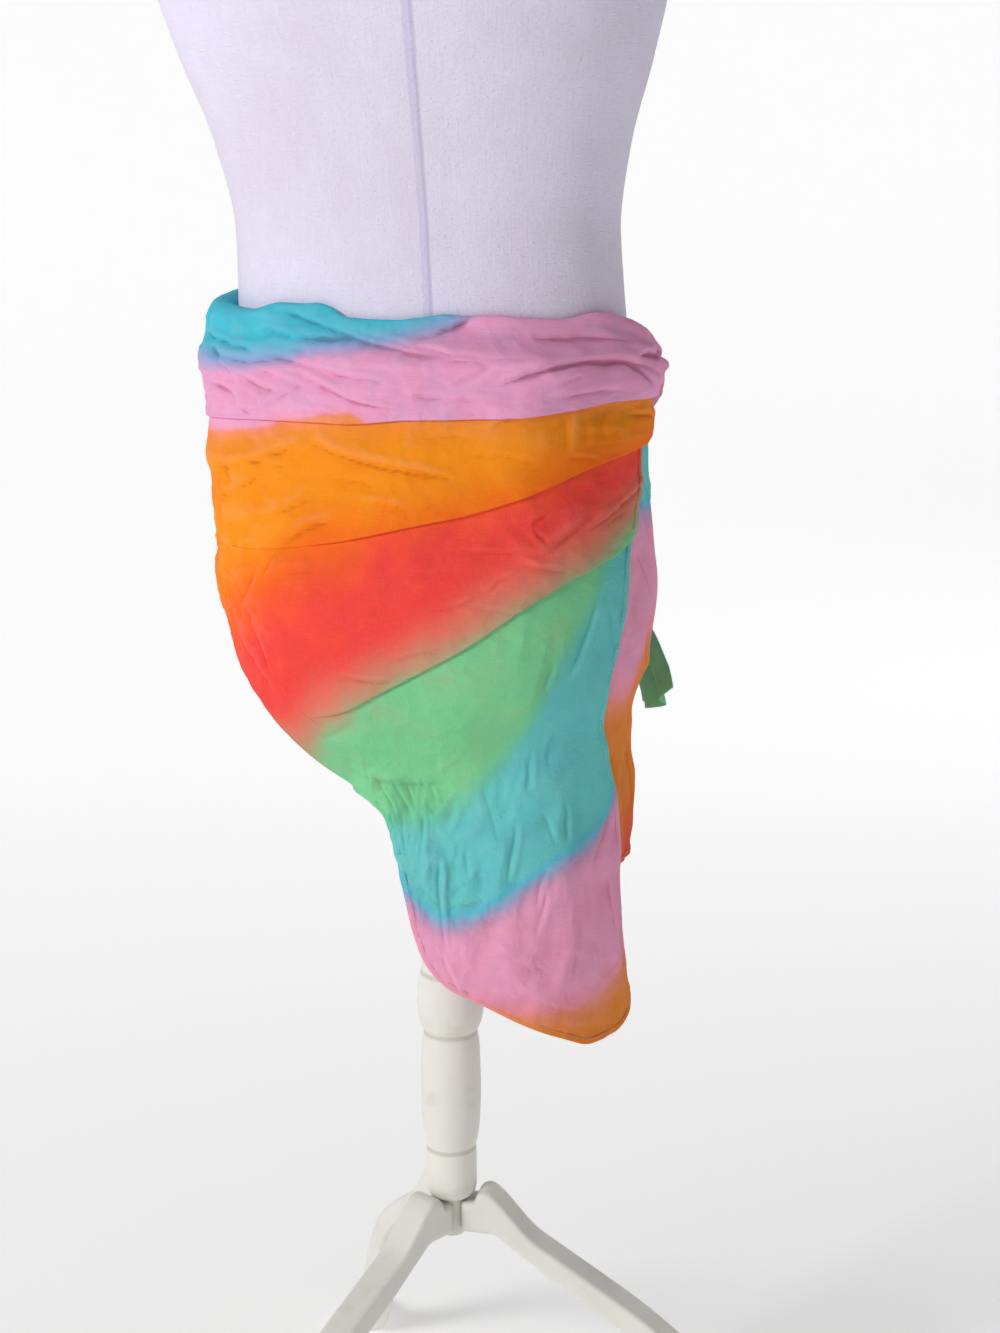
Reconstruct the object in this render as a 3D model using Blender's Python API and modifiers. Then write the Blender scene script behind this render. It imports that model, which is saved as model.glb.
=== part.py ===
"""A short sarong tied low on the hips of a limbless dress form, on a turned wooden tripod.

Metres, with +Z up. The stand's pole is the axis that everything is made round, and the form's
back, which is the side that shows, faces -Y. An angle is measured round that axis in degrees,
from 0 at -Y through 90 at +X, so the wearer's right side is at 90 and the front at 180.
"""
import math

import bmesh
import bpy
import numpy as np
from mathutils import Vector

# The dress form, one row for each section from its underside to its neck
# height, half width, depth to the back, depth to the front, centre along Y, power (2 is an ellipse)
FORM_SECTIONS = (
    (0.606, 0.030, 0.030, 0.030, 0.000, 2.00),
    (0.610, 0.058, 0.054, 0.050, 0.000, 2.10),
    (0.620, 0.078, 0.074, 0.066, 0.000, 2.20),
    (0.640, 0.103, 0.095, 0.082, -0.002, 2.25),
    (0.670, 0.127, 0.111, 0.094, -0.004, 2.30),
    (0.710, 0.1455, 0.121, 0.100, -0.006, 2.30),
    (0.770, 0.1535, 0.124, 0.103, -0.006, 2.30),
    (0.830, 0.148, 0.115, 0.104, -0.004, 2.30),
    (0.890, 0.1455, 0.101, 0.102, 0.000, 2.25),
    (0.950, 0.139, 0.088, 0.097, 0.004, 2.20),
    (1.010, 0.137, 0.083, 0.092, 0.004, 2.20),
    (1.070, 0.147, 0.086, 0.092, 0.000, 2.20),
    (1.130, 0.166, 0.096, 0.092, -0.006, 2.25),
    (1.180, 0.1785, 0.104, 0.094, -0.010, 2.30),
    (1.240, 0.184, 0.107, 0.091, -0.012, 2.40),
    (1.300, 0.184, 0.102, 0.083, -0.014, 2.50),
    (1.345, 0.168, 0.090, 0.072, -0.014, 2.50),
    (1.375, 0.146, 0.080, 0.064, -0.012, 2.40),
    (1.395, 0.118, 0.071, 0.059, -0.010, 2.25),
    (1.410, 0.090, 0.064, 0.057, -0.006, 2.10),
    (1.430, 0.065, 0.058, 0.055, -0.002, 2.00),
    (1.455, 0.056, 0.055, 0.054, 0.002, 2.00),
    (1.480, 0.054, 0.054, 0.054, 0.003, 2.00),
)
# Soft swellings of the form: angle, height, how far out, half spread in degrees, half spread in height
FORM_SWELLS = (
    (-30.0, 0.705, 0.009, 24.0, 0.060),
    (30.0, 0.705, 0.009, 24.0, 0.060),
    (148.0, 1.185, 0.034, 27.0, 0.050),
    (212.0, 1.185, 0.034, 27.0, 0.050),
    (180.0, 0.850, 0.006, 50.0, 0.080),
)
FORM_BOTTOM = FORM_SECTIONS[0][0]
FORM_TOP = FORM_SECTIONS[-1][0]
# The form leans a little to its left on the pole: its middle at a height, and the slope above it
LEAN = math.tan(math.radians(2.6))
LEAN_FROM = 0.62
LEAN_START = 0.0025
FORM_RING = 60
CAP_RADIUS = 0.050
CAP_HEIGHT = 0.014

# The cloth: wall, air between layers, and how far an upper stretch lies over a lower one
WALL = 0.0016
AIR = 0.0007
SEAM = 0.0004
LEVEL = WALL + AIR
REST = 0.0010 + WALL / 2
LIP_GAP = 0.0006
LAP = 0.016
TUCK = 0.0014
# Edges of the stretches that go all the way round: angle, roll's top, roll's foot, hip fold's foot
ROUND_EDGES = (
    (-100, 0.962, 0.880, 0.795),
    (-75, 0.960, 0.881, 0.795),
    (-58, 0.960, 0.885, 0.797),
    (-47, 0.966, 0.887, 0.799),
    (-34, 0.966, 0.888, 0.804),
    (-19, 0.958, 0.889, 0.811),
    (6, 0.958, 0.895, 0.824),
    (24, 0.961, 0.897, 0.833),
    (38, 0.961, 0.898, 0.843),
    (60, 0.959, 0.902, 0.861),
    (70, 0.960, 0.904, 0.866),
    (82, 0.954, 0.903, 0.869),
    (96, 0.941, 0.900, 0.872),
    (112, 0.927, 0.895, 0.873),
    (128, 0.922, 0.891, 0.872),
    (145, 0.928, 0.889, 0.862),
    (165, 0.942, 0.888, 0.846),
    (190, 0.952, 0.884, 0.826),
    (220, 0.958, 0.880, 0.806),
)
# Edges of the back, from its left margin to its right edge: angle, seat fold's foot, hem
BACK_EDGES = (
    (-100, 0.675, 0.622),
    (-75, 0.676, 0.622),
    (-47, 0.681, 0.622),
    (-34, 0.685, 0.623),
    (-24, 0.690, 0.623),
    (-13, 0.700, 0.614),
    (-8.5, 0.706, 0.593),
    (-4.5, 0.711, 0.562),
    (-0.5, 0.716, 0.528),
    (5, 0.723, 0.503),
    (12, 0.732, 0.490),
    (24, 0.749, 0.478),
    (38, 0.772, 0.462),
    (49, 0.786, 0.450),
    (60, 0.796, 0.440),
    (70, 0.804, 0.440),
    (84, 0.830, 0.452),
)
# The back's free right edge, which shows: height, angle
RIGHT_EDGE = (
    (0.440, 80), (0.465, 81), (0.500, 76.5), (0.550, 74), (0.600, 73), (0.640, 70), (0.670, 67),
    (0.700, 64), (0.724, 64), (0.744, 66), (0.776, 69), (0.800, 71.5), (0.816, 75.5),
    (0.835, 80), (0.855, 82), (0.900, 84),
)
# The front's hem, from its margin under the back to its left margin: angle, height
FRONT_HEM = (
    (40, 0.586), (60, 0.573), (80, 0.562), (100, 0.556), (112, 0.559), (130, 0.572),
    (150, 0.588), (180, 0.602), (210, 0.612), (240, 0.620), (260, 0.622),
)
# Heights of the right edge where the seat fold and the back's fall start and end
SEAT_RIGHT = (0.885, 0.812)
FALL_RIGHT = (0.828, 0.458)
LEFT_MARGIN = -100.0
SIDE_SEAM = 0.09
BACK_MIDDLE = 60.0
RIGHT_MARGIN = 48.0
TAIL_GAP = 0.0005
# How far in the front's hidden margin hangs from the back's fall
FRONT_TUCK = 0.0045
# Where the cloth hangs clear of the form: angle, distance from the axis
HANGING = (
    (-120, 0.070), (-60, 0.072), (-40, 0.082), (-30, 0.094), (-20, 0.102), (-10, 0.105),
    (5, 0.107), (20, 0.114), (35, 0.124), (50, 0.132), (65, 0.136), (78, 0.137), (90, 0.132),
    (105, 0.129), (120, 0.122), (140, 0.108), (160, 0.097), (180, 0.090), (210, 0.077),
)
HANG_EASE = 0.008
# How far the cloth stands off the form, in mm, at these heights for each angle
STAND_OFF_HEIGHTS = (0.955, 0.925, 0.888, 0.862, 0.830, 0.790, 0.720, 0.640)
STAND_OFF = (
    (-100, 18, 21, 14, 14, 11, 6, 3, 0),
    (-75, 18, 19, 12, 12, 9, 5, 2, 0),
    (-58, 12, 14, 9, 8, 6, 2, 0, 0),
    (-40, 5, 7, 4, 3, 1, 0, 0, 0),
    (-20, 3, 5, 3, 2, 1, 0, 0, 0),
    (40, 3, 5, 3, 2, 1, 0, 0, 0),
    (62, 3, 6, 4, 2, 1, 0, 0, 0),
    (80, 5, 12, 5, 2, 1, 0, 0, 0),
    (96, 8, 16, 6, 2, 0, 0, 0, 0),
    (110, 10, 18, 9, 4, 2, 1, 0, 0),
    (128, 12, 18, 13, 8, 4, 3, 1, 0),
    (150, 8, 12, 9, 7, 4, 3, 1, 0),
    (180, 6, 9, 7, 6, 4, 2, 1, 0),
    (210, 8, 12, 9, 8, 5, 3, 1, 0),
    (235, 15, 19, 14, 13, 9, 4, 2, 0),
)
# Soft folds raised on the cloth: first angle, height, last angle, height, half width, how high
FOLDS = (
    (-95, 0.905, -28, 0.946, 0.010, 0.0030),
    (-70, 0.893, 20, 0.925, 0.009, 0.0018),
    (30, 0.928, 118, 0.908, 0.009, 0.0026),
    (140, 0.910, 215, 0.938, 0.010, 0.0028),
    (-88, 0.850, -35, 0.862, 0.010, 0.0026),
    (-40, 0.866, 66, 0.880, 0.008, 0.0016),
    (152, 0.872, 215, 0.850, 0.010, 0.0024),
    (150, 0.800, 205, 0.720, 0.012, 0.0026),
    (142, 0.790, 165, 0.640, 0.012, 0.0026),
    (28, 0.620, 34, 0.480, 0.012, 0.0026),
    (50, 0.640, 52, 0.470, 0.012, 0.0026),
    (67, 0.600, 70, 0.480, 0.008, 0.0018),
    (2, 0.610, 14, 0.520, 0.010, 0.0026),
    (96, 0.640, 98, 0.560, 0.010, 0.0024),
)

# The turned pole, from its neck under the form to its foot: height, radius
POLE_PROFILE = (
    (0.6057, 0.0215), (0.462, 0.0215), (0.457, 0.0226), (0.450, 0.0242), (0.441, 0.0253),
    (0.432, 0.0256), (0.422, 0.0248), (0.413, 0.0226), (0.4095, 0.0206), (0.4065, 0.0206),
    (0.403, 0.0214), (0.385, 0.0226), (0.360, 0.0232), (0.338, 0.0226), (0.320, 0.0208),
    (0.3135, 0.0192), (0.3105, 0.0192), (0.307, 0.0197), (0.281, 0.0197), (0.276, 0.0190),
    (0.2715, 0.0160), (0.2700, 0.0120),
)
POLE_STEPS = 24
HUB_RADIUS = 0.0108
HUB_TOP = 0.2697
HUB_BOTTOM = 0.239
# A leg's board seen from its side: distance from the axis, height, along its top and underneath
LEG_TOP = (
    (0.0111, 0.2690), (0.0205, 0.2690), (0.0225, 0.2760), (0.0300, 0.2790), (0.0400, 0.2720),
    (0.0500, 0.2610), (0.0650, 0.2445), (0.0850, 0.2310), (0.1200, 0.2085), (0.1550, 0.1850),
    (0.1850, 0.1600), (0.2100, 0.1300), (0.2320, 0.0950), (0.2500, 0.0620), (0.2660, 0.0380),
    (0.2820, 0.0240), (0.3000, 0.0190), (0.3060, 0.0150),
)
LEG_UNDER = (
    (0.0111, 0.2440), (0.0330, 0.2440), (0.0500, 0.2340), (0.0820, 0.2105), (0.1260, 0.1820),
    (0.1560, 0.1590), (0.1810, 0.1330), (0.2030, 0.1020), (0.2210, 0.0700), (0.2370, 0.0400),
    (0.2520, 0.0160), (0.2640, 0.0040),
)
LEG_WIDTH = 0.026
LEG_ANGLES = {"stand_leg_a": -29.0, "stand_leg_b": 91.0, "stand_leg_c": 211.0}

# The knot: angle, height, half length along the hips, half height, half depth
KNOT = (128.0, 0.893, 0.024, 0.021, 0.0125)
KNOT_COLUMNS = 20
KNOT_ROWS = 11
# The tied corners: end angle, end height, width at the end, distance from the axis at the end
TAILS = {
    "tail_long": (122.0, 0.650, 0.060, 0.165),
    "tail_short": (141.0, 0.764, 0.040, 0.158),
}

# Materials: colour, roughness, metallic
FINISHES = {
    "jersey": ((0.83, 0.82, 0.86), 0.85, 0.0),
    "painted_wood": ((0.86, 0.85, 0.82), 0.40, 0.0),
    "dyed_cotton_pink": ((0.86, 0.56, 0.68), 0.80, 0.0),
    "dyed_cotton_orange": ((0.88, 0.56, 0.24), 0.80, 0.0),
    "dyed_cotton_red": ((0.88, 0.36, 0.34), 0.80, 0.0),
    "dyed_cotton_green": ((0.47, 0.76, 0.55), 0.80, 0.0),
    "dyed_cotton_turquoise": ((0.42, 0.75, 0.80), 0.80, 0.0),
}


def smooth_lookup(table, at, turn=None):
    """The columns after a table's first, read between its rows on a curve that never overshoots.

    With turn, the table goes round and repeats after that many degrees.
    """
    rows = np.asarray(table, dtype=float)
    if turn:
        before, after = rows.copy(), rows.copy()
        before[:, 0] -= turn
        after[:, 0] += turn
        rows = np.concatenate([before, rows, after])
    x, y = rows[:, 0], rows[:, 1:]
    step = np.diff(x)[:, None]
    rise = np.diff(y, axis=0) / step
    slope = np.zeros_like(y)
    same_way = rise[:-1] * rise[1:] > 0
    weight_a = 2 * step[1:] + step[:-1]
    weight_b = step[1:] + 2 * step[:-1]
    with np.errstate(divide="ignore", invalid="ignore"):
        mean = (weight_a + weight_b) / (weight_a / rise[:-1] + weight_b / rise[1:])
    slope[1:-1] = np.where(same_way, mean, 0.0)
    slope[0], slope[-1] = rise[0], rise[-1]
    at = np.clip(np.asarray(at, dtype=float), x[0], x[-1])
    cell = np.clip(np.searchsorted(x, at, side="right") - 1, 0, len(x) - 2)
    wide = step[cell, 0]
    t = ((at - x[cell]) / wide)[..., None]
    wide = wide[..., None]
    value = (y[cell] * (1 + 2 * t) * (1 - t) ** 2 + y[cell + 1] * t * t * (3 - 2 * t)
             + slope[cell] * wide * t * (1 - t) ** 2 - slope[cell + 1] * wide * t * t * (1 - t))
    return [value[..., column] for column in range(y.shape[1])]


def smooth_step(value, low, high):
    """0 below low, 1 above high, and an easy S between them."""
    t = np.clip((np.asarray(value, dtype=float) - low) / (high - low), 0.0, 1.0)
    return t * t * (3 - 2 * t)


def angle_apart(angle, centre):
    """Degrees from centre to angle, the short way round."""
    return (np.asarray(angle, dtype=float) - centre + 180.0) % 360.0 - 180.0


def form_radius(angle, height):
    """Distance from the form's middle line to its surface: a rounded oval, and its swellings."""
    half_width, back, front, _centre, power = smooth_lookup(FORM_SECTIONS, height)
    across = np.abs(np.sin(np.radians(angle)))
    along = np.cos(np.radians(angle))
    depth = np.where(along > 0, back, front)
    radius = ((across / half_width) ** power + (np.abs(along) / depth) ** power) ** (-1 / power)
    for centre, level, out, spread, tall in FORM_SWELLS:
        near = (angle_apart(angle, centre) / spread) ** 2 + ((height - level) / tall) ** 2
        radius = radius + out * np.exp(-near)
    return radius


def stand_off(angle, height):
    """How far the cloth stands off the form, read from the table in both directions."""
    columns = smooth_lookup(STAND_OFF, angle, turn=360.0)
    grid = np.stack(columns, axis=-1) / 1000.0
    levels = np.array(STAND_OFF_HEIGHTS)
    place = np.clip((levels[0] - height), 0.0, levels[0] - levels[-1])
    drops = levels[0] - levels
    cell = np.clip(np.searchsorted(drops, place, side="right") - 1, 0, len(levels) - 2)
    t = smooth_step((place - drops[cell]) / (drops[cell + 1] - drops[cell]), 0.0, 1.0)
    upper = np.take_along_axis(grid, cell[..., None], axis=-1)[..., 0]
    lower = np.take_along_axis(grid, cell[..., None] + 1, axis=-1)[..., 0]
    return upper + (lower - upper) * t


def folds(angle, height):
    """The soft folds: each a ridge along a line, highest at its middle and gone at its ends."""
    raised = np.zeros(np.broadcast(angle, height).shape)
    for angle_a, height_a, angle_b, height_b, half_width, high in FOLDS:
        middle = (angle_a + angle_b) / 2
        metres = math.radians(1.0) * 0.15
        run = np.array([(angle_b - angle_a) * metres, height_b - height_a])
        length = float(np.hypot(*run))
        across = angle_apart(angle, middle) * metres
        up = height - (height_a + height_b) / 2
        along = (across * run[0] + up * run[1]) / length
        aside = (across * run[1] - up * run[0]) / length
        ridge = np.exp(-(aside / half_width) ** 2)
        raised += high * ridge * (1 - smooth_step(np.abs(along), 0.25 * length, 0.5 * length))
    return raised


def cloth_radius(angle, height):
    """The cloth's inner side: the form's surface, or the line where it hangs clear, if further out."""
    form = form_radius(angle, height)
    hanging = smooth_lookup(HANGING, angle, turn=360.0)[0]
    beyond = form - hanging
    held = hanging + 0.5 * (beyond + np.sqrt(beyond ** 2 + HANG_EASE ** 2))
    return held + stand_off(angle, height) + folds(angle, height)


def place(angle, height, radius):
    """A point at an angle, height and radius, moved over with the form's middle line and lean."""
    centre_y = smooth_lookup(FORM_SECTIONS, height)[3]
    centre_x = LEAN_START - LEAN * np.maximum(height - LEAN_FROM, 0.0)
    round_x = radius * np.sin(np.radians(angle))
    round_y = -radius * np.cos(np.radians(angle))
    return np.stack([centre_x + round_x, centre_y + round_y, height + 0.0 * radius], axis=-1)


def cloth_point(angle, height, out):
    """A point of the cloth's middle surface, that far out along the cloth's slope."""
    small = 0.0015
    radius = cloth_radius(angle, height)
    rise = (cloth_radius(angle, height + small) - cloth_radius(angle, height - small)) / (2 * small)
    lean = np.sqrt(1 + rise ** 2)
    return place(angle, height - out * rise / lean, radius + out / lean)


def collections():
    """The part's own collection, in the scene."""
    part = bpy.data.collections.new("sarong")
    bpy.context.scene.collection.children.link(part)
    return part


def finish(name):
    """A Principled material with the named finish."""
    if name in bpy.data.materials:
        return bpy.data.materials[name]
    colour, roughness, metallic = FINISHES[name]
    material = bpy.data.materials.new(name)
    material.use_nodes = True
    shader = material.node_tree.nodes["Principled BSDF"]
    shader.inputs["Base Color"].default_value = (*colour, 1.0)
    shader.inputs["Roughness"].default_value = roughness
    shader.inputs["Metallic"].default_value = metallic
    material.diffuse_color = (*colour, 1.0)
    return material


def add_object(name, mesh, material, part):
    """Links a mesh into the part as an object with its own material."""
    made = bpy.data.objects.new(name, mesh)
    made.data.materials.append(finish(material))
    part.objects.link(made)
    return made


def grid_mesh(name, points, goes_round):
    """A mesh of quads over a grid of points, closed round its columns if it goes round."""
    rows, columns = points.shape[:2]
    index = np.arange(rows * columns).reshape(rows, columns)
    if goes_round:
        index = np.concatenate([index, index[:, :1]], axis=1)
    corners = (index[:-1, :-1], index[1:, :-1], index[1:, 1:], index[:-1, 1:])
    faces = np.stack(corners, axis=-1).reshape(-1, 4)
    mesh = bpy.data.meshes.new(name)
    mesh.from_pydata(points.reshape(-1, 3).tolist(), [], faces.tolist())
    mesh.update()
    return mesh


def close_ends(mesh):
    """Fills the open first and last ring of a closed tube with one face each."""
    shape = bmesh.new()
    shape.from_mesh(mesh)
    bmesh.ops.holes_fill(shape, edges=[edge for edge in shape.edges if edge.is_boundary])
    bmesh.ops.recalc_face_normals(shape, faces=shape.faces)
    shape.to_mesh(mesh)
    shape.free()


def wall(name, points, goes_round, material, part):
    """A stretch of cloth: an open surface through the points, given its thickness by Solidify."""
    made = add_object(name, grid_mesh(name, points, goes_round), material, part)
    thick = made.modifiers.new("wall", "SOLIDIFY")
    thick.thickness = WALL
    thick.offset = 0.0
    return made


def build_form(part):
    """The dress form: a loft through its sections, closed below and at the neck."""
    angles = np.arange(FORM_RING) * 360.0 / FORM_RING
    low = [0.606, 0.608, 0.612, 0.619, 0.629, 0.642, 0.658, 0.679, 0.706, 0.740]
    shoulder = [1.320, 1.350, 1.375, 1.393, 1.408, 1.424, 1.446, FORM_TOP]
    hip = [0.780, 0.820, 0.858, 0.890, 0.914, 0.934, 0.952, 0.972, 1.000]
    heights = np.array([*low, *hip, *np.linspace(1.035, 1.280, 7), *shoulder])
    angle, height = np.meshgrid(angles, heights)
    mesh = grid_mesh("form_body", place(angle, height, form_radius(angle, height)), True)
    close_ends(mesh)
    add_object("form_body", mesh, "jersey", part)


def turned(name, profile, steps, material, part):
    """A piece turned on a lathe: a profile from its top down its outer side, and a Screw."""
    shape = bmesh.new()
    corners = [shape.verts.new((radius, 0.0, height)) for height, radius in profile]
    for upper, lower in zip(corners[:-1], corners[1:]):
        shape.edges.new((upper, lower))
    mesh = bpy.data.meshes.new(name)
    shape.to_mesh(mesh)
    shape.free()
    made = add_object(name, mesh, material, part)
    screw = made.modifiers.new("lathe", "SCREW")
    screw.steps = steps
    screw.render_steps = steps
    screw.use_merge_vertices = True
    screw.merge_threshold = 0.00005
    return made


def build_neck_cap(part):
    """A plain low turned cap on the neck."""
    base = FORM_TOP + 0.0003
    profile = [(base + CAP_HEIGHT, 0.0)]
    for share in (0.35, 0.65, 0.85, 0.96):
        profile.append((base + CAP_HEIGHT - 0.006 * share ** 3, CAP_RADIUS * share))
    profile += [(base + 0.004, CAP_RADIUS), (base, CAP_RADIUS - 0.001), (base, 0.0)]
    cap = turned("form_neck_cap", profile, POLE_STEPS, "painted_wood", part)
    centre = place(0.0, np.array(FORM_TOP), np.array(0.0))
    cap.location = (centre[0], centre[1], 0.0)


def build_pole(part):
    """The turned pole, closed on its axis at both ends."""
    top, bottom = POLE_PROFILE[0][0], POLE_PROFILE[-1][0]
    turned("stand_pole", [(top, 0.0), *POLE_PROFILE, (bottom, 0.0)], POLE_STEPS, "painted_wood", part)


def build_hub(part):
    """The plain post that the legs are fixed to."""
    bpy.ops.mesh.primitive_cylinder_add(vertices=POLE_STEPS, radius=HUB_RADIUS,
                                        depth=HUB_TOP - HUB_BOTTOM,
                                        location=(0, 0, (HUB_TOP + HUB_BOTTOM) / 2))
    hub = bpy.context.object
    hub.name = "stand_hub"
    hub.data.materials.append(finish("painted_wood"))
    for home in hub.users_collection:
        home.objects.unlink(hub)
    part.objects.link(hub)


def leg_outline():
    """A leg's board seen from its side: out along its top from the hub, and back underneath."""
    foot = [(LEG_TOP[-1][0], 0.0), (LEG_UNDER[-1][0] + 0.004, 0.0)]
    return [*LEG_TOP, *foot, *LEG_UNDER[::-1]]


def build_leg(name, angle, part):
    """One leg: its outline as a filled curve, as thick as the board, turned to its direction."""
    curve = bpy.data.curves.new(name, "CURVE")
    curve.dimensions = "2D"
    curve.fill_mode = "BOTH"
    curve.extrude = LEG_WIDTH / 2
    outline = leg_outline()
    spline = curve.splines.new("POLY")
    spline.points.add(len(outline) - 1)
    for point, (reach, height) in zip(spline.points, outline):
        point.co = (reach, height, 0.0, 1.0)
    spline.use_cyclic_u = True
    leg = bpy.data.objects.new(name, curve)
    leg.data.materials.append(finish("painted_wood"))
    leg.rotation_euler = (math.radians(90), 0.0, math.radians(angle - 90))
    part.objects.link(leg)


def lap_depth(angle):
    """How far a stretch's top goes in under a fold: less where they all draw in to the knot."""
    near = 1 - smooth_step(np.abs(angle_apart(angle, KNOT[0])), 25.0, 55.0)
    return LAP * (1 - 0.55 * near)


def lap(angle):
    """The same where the fold shows as an edge, and a seam's gap where it has opened out.

    Round the left side the folds open out, and the stretches meet flush with a seam between.
    """
    turn = angle_apart(angle, BACK_MIDDLE)
    shows = smooth_step(turn, -96.0, -84.0) * (1 - smooth_step(turn, 140.0, 152.0))
    return -SEAM + (lap_depth(angle) + SEAM) * shows


def tuck(angle, height, start):
    """How far in a stretch's top is pressed under the fold above, where it stands off the form."""
    hidden = 1 - smooth_step(start - height, 0.6 * LAP, 1.2 * LAP)
    return np.minimum(TUCK, 0.5 * stand_off(angle, height)) * hidden


def raised(angle):
    """1 where a fold's foot lies over the next stretch, easing to 0 where they meet flush."""
    turn = angle_apart(angle, BACK_MIDDLE)
    return smooth_step(turn, -118.0, -98.0) * (1 - smooth_step(turn, 153.0, 173.0))


def over_next(angle, height, foot):
    """From 0 high on a stretch to 1 where its foot lies over the next one."""
    depth = lap_depth(angle)
    return 1 - smooth_step((height - foot) / depth, 1.1, 2.3)


def inner_layers(angle):
    """1 where the front's margin lies in under the back pieces, on the right hip."""
    turn = angle_apart(angle, BACK_MIDDLE)
    return smooth_step(turn, -32.0, -18.0) * (1 - smooth_step(turn, 24.0, 40.0))


def build_waist_roll(part):
    """The rolled top edge: in against the form, over, and down its outer side to its foot."""
    angles = np.arange(FORM_RING) * 360.0 / FORM_RING
    top, foot, _hip = smooth_lookup(ROUND_EDGES, angles, turn=360.0)
    lip = LIP_GAP + WALL / 2
    out = REST + LEVEL * (1 + inner_layers(angles))
    thick = stand_off(angles, top - 0.010) + out
    arch = 0.0035 + 0.34 * thick
    rows = []
    for turn in (-40, 0, 40, 80, 120, 180):
        share = 0.5 - 0.5 * math.cos(math.radians(max(turn, 0)))
        height = top - arch + arch * math.sin(math.radians(turn))
        radius = form_radius(angles, height) + lip + (thick - lip) * share
        rows.append(place(angles, height, radius))
    for share in (0.18, 0.40, 0.60, 0.80, 1.0):
        height = top - arch + (foot - top + arch) * share
        outer = cloth_point(angles, height, out)
        start = place(angles, height, form_radius(angles, height) + thick)
        rows.append(start + (outer - start) * smooth_step(share, 0.0, 0.4))
    wall("waist_roll", np.stack(rows), True, "dyed_cotton_pink", part)


def build_hip_fold(part):
    """The orange stretch: its top under the roll all round, its foot over what comes below."""
    angles = np.arange(FORM_RING) * 360.0 / FORM_RING
    _top, roll_foot, foot = smooth_lookup(ROUND_EDGES, angles, turn=360.0)
    start = roll_foot + lap_depth(angles)
    rows = []
    for share in np.linspace(0.0, 1.0, 8):
        height = start + (foot - start) * share
        level = raised(angles) * over_next(angles, height, foot) + inner_layers(angles)
        out = REST + LEVEL * level - tuck(angles, height, start)
        rows.append(cloth_point(angles, height, out))
    wall("hip_fold", np.stack(rows), True, "dyed_cotton_orange", part)


def back_angles(share, right_height):
    """Angles across the back from its left margin to its free right edge at that height."""
    right = smooth_lookup(RIGHT_EDGE, right_height)[0]
    left = LEFT_MARGIN + SIDE_SEAM
    return left + share * (right - left)


def build_seat_fold(part):
    """The red stretch over the seat, from under the hip fold to its own foot."""
    across = np.linspace(0.0, 1.0, 33)
    top, foot = SEAT_RIGHT
    rows = []
    for share in np.linspace(0.0, 1.0, 9):
        angles = back_angles(across, top + (foot - top) * share)
        start = smooth_lookup(ROUND_EDGES, angles, turn=360.0)[2] + lap(angles)
        end = smooth_lookup(BACK_EDGES, angles)[0]
        height = start + (end - start) * share
        level = raised(angles) * over_next(angles, height, end) + inner_layers(angles)
        out = REST + LEVEL * level - tuck(angles, height, start)
        rows.append(cloth_point(angles, height, out))
    wall("seat_fold", np.stack(rows), False, "dyed_cotton_red", part)


def build_back_fall(part):
    """The green stretch: over the seat, in under it, and down to the hanging corner."""
    across = np.linspace(0.0, 1.0, 38)
    top, foot = FALL_RIGHT
    rows = []
    for share in np.linspace(0.0, 1.0, 20):
        angles = back_angles(across, top + (foot - top) * share)
        seat, hem = smooth_lookup(BACK_EDGES, angles)
        start = seat + lap(angles)
        height = start + (hem - start) * share
        rows.append(cloth_point(angles, height, REST + LEVEL * inner_layers(angles)))
    wall("back_fall", np.stack(rows), False, "dyed_cotton_green", part)


def build_front_fall(part):
    """The other end of the cloth: in under the back's right edge, and round the front."""
    angles = np.linspace(RIGHT_MARGIN, LEFT_MARGIN + 360.0 - SIDE_SEAM, 37)
    start = smooth_lookup(ROUND_EDGES, angles, turn=360.0)[2] + lap(angles)
    hem = smooth_lookup(FRONT_HEM, angles)[0]
    rows = []
    behind = 1 - smooth_step(np.abs(angle_apart(angles, BACK_MIDDLE)), 26.0, 42.0)
    even = np.linspace(0.0, 1.0, 16)
    for share in even - 0.5 * np.sin(2 * math.pi * even) / (2 * math.pi):
        height = start + (hem - start) * share
        hangs = 1 - smooth_step(height, 0.625, 0.675)
        tucks = FRONT_TUCK * behind * hangs + tuck(angles, height, start)
        rows.append(cloth_point(angles, height, REST - tucks))
    wall("front_fall", np.stack(rows), False, "dyed_cotton_turquoise", part)


def on_roll(along, height, out):
    """A point in front of the knot's place: that far along the hips, at a height, that far out."""
    angle, level = KNOT[:2]
    reach = cloth_radius(angle, level)
    skin = REST + LEVEL + WALL / 2 + AIR
    turn = angle + np.degrees(along / reach)
    return place(turn, height, cloth_radius(turn, np.full(np.shape(turn), level)) + skin + out)


def build_knot(part):
    """The knot: a rounded lump whose grooves run slantwise, resting on the roll at its back."""
    _angle, level, long, tall, deep = KNOT
    spin = np.radians(np.arange(KNOT_COLUMNS) * 360.0 / KNOT_COLUMNS)
    rows = []
    for tilt in np.radians(np.linspace(-84.0, 84.0, KNOT_ROWS)):
        groove = 1 - 0.10 * math.cos(tilt) * (1 + np.cos(3 * spin + 1.2)) / 2
        along = long * math.cos(tilt) * np.cos(spin) * groove
        height = level + tall * math.cos(tilt) * np.sin(spin) * groove
        rows.append(on_roll(along, height, deep * (1 + math.sin(tilt)) * np.ones(KNOT_COLUMNS)))
    mesh = grid_mesh("knot", np.stack(rows), True)
    close_ends(mesh)
    add_object("knot", mesh, "dyed_cotton_pink", part)


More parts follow.
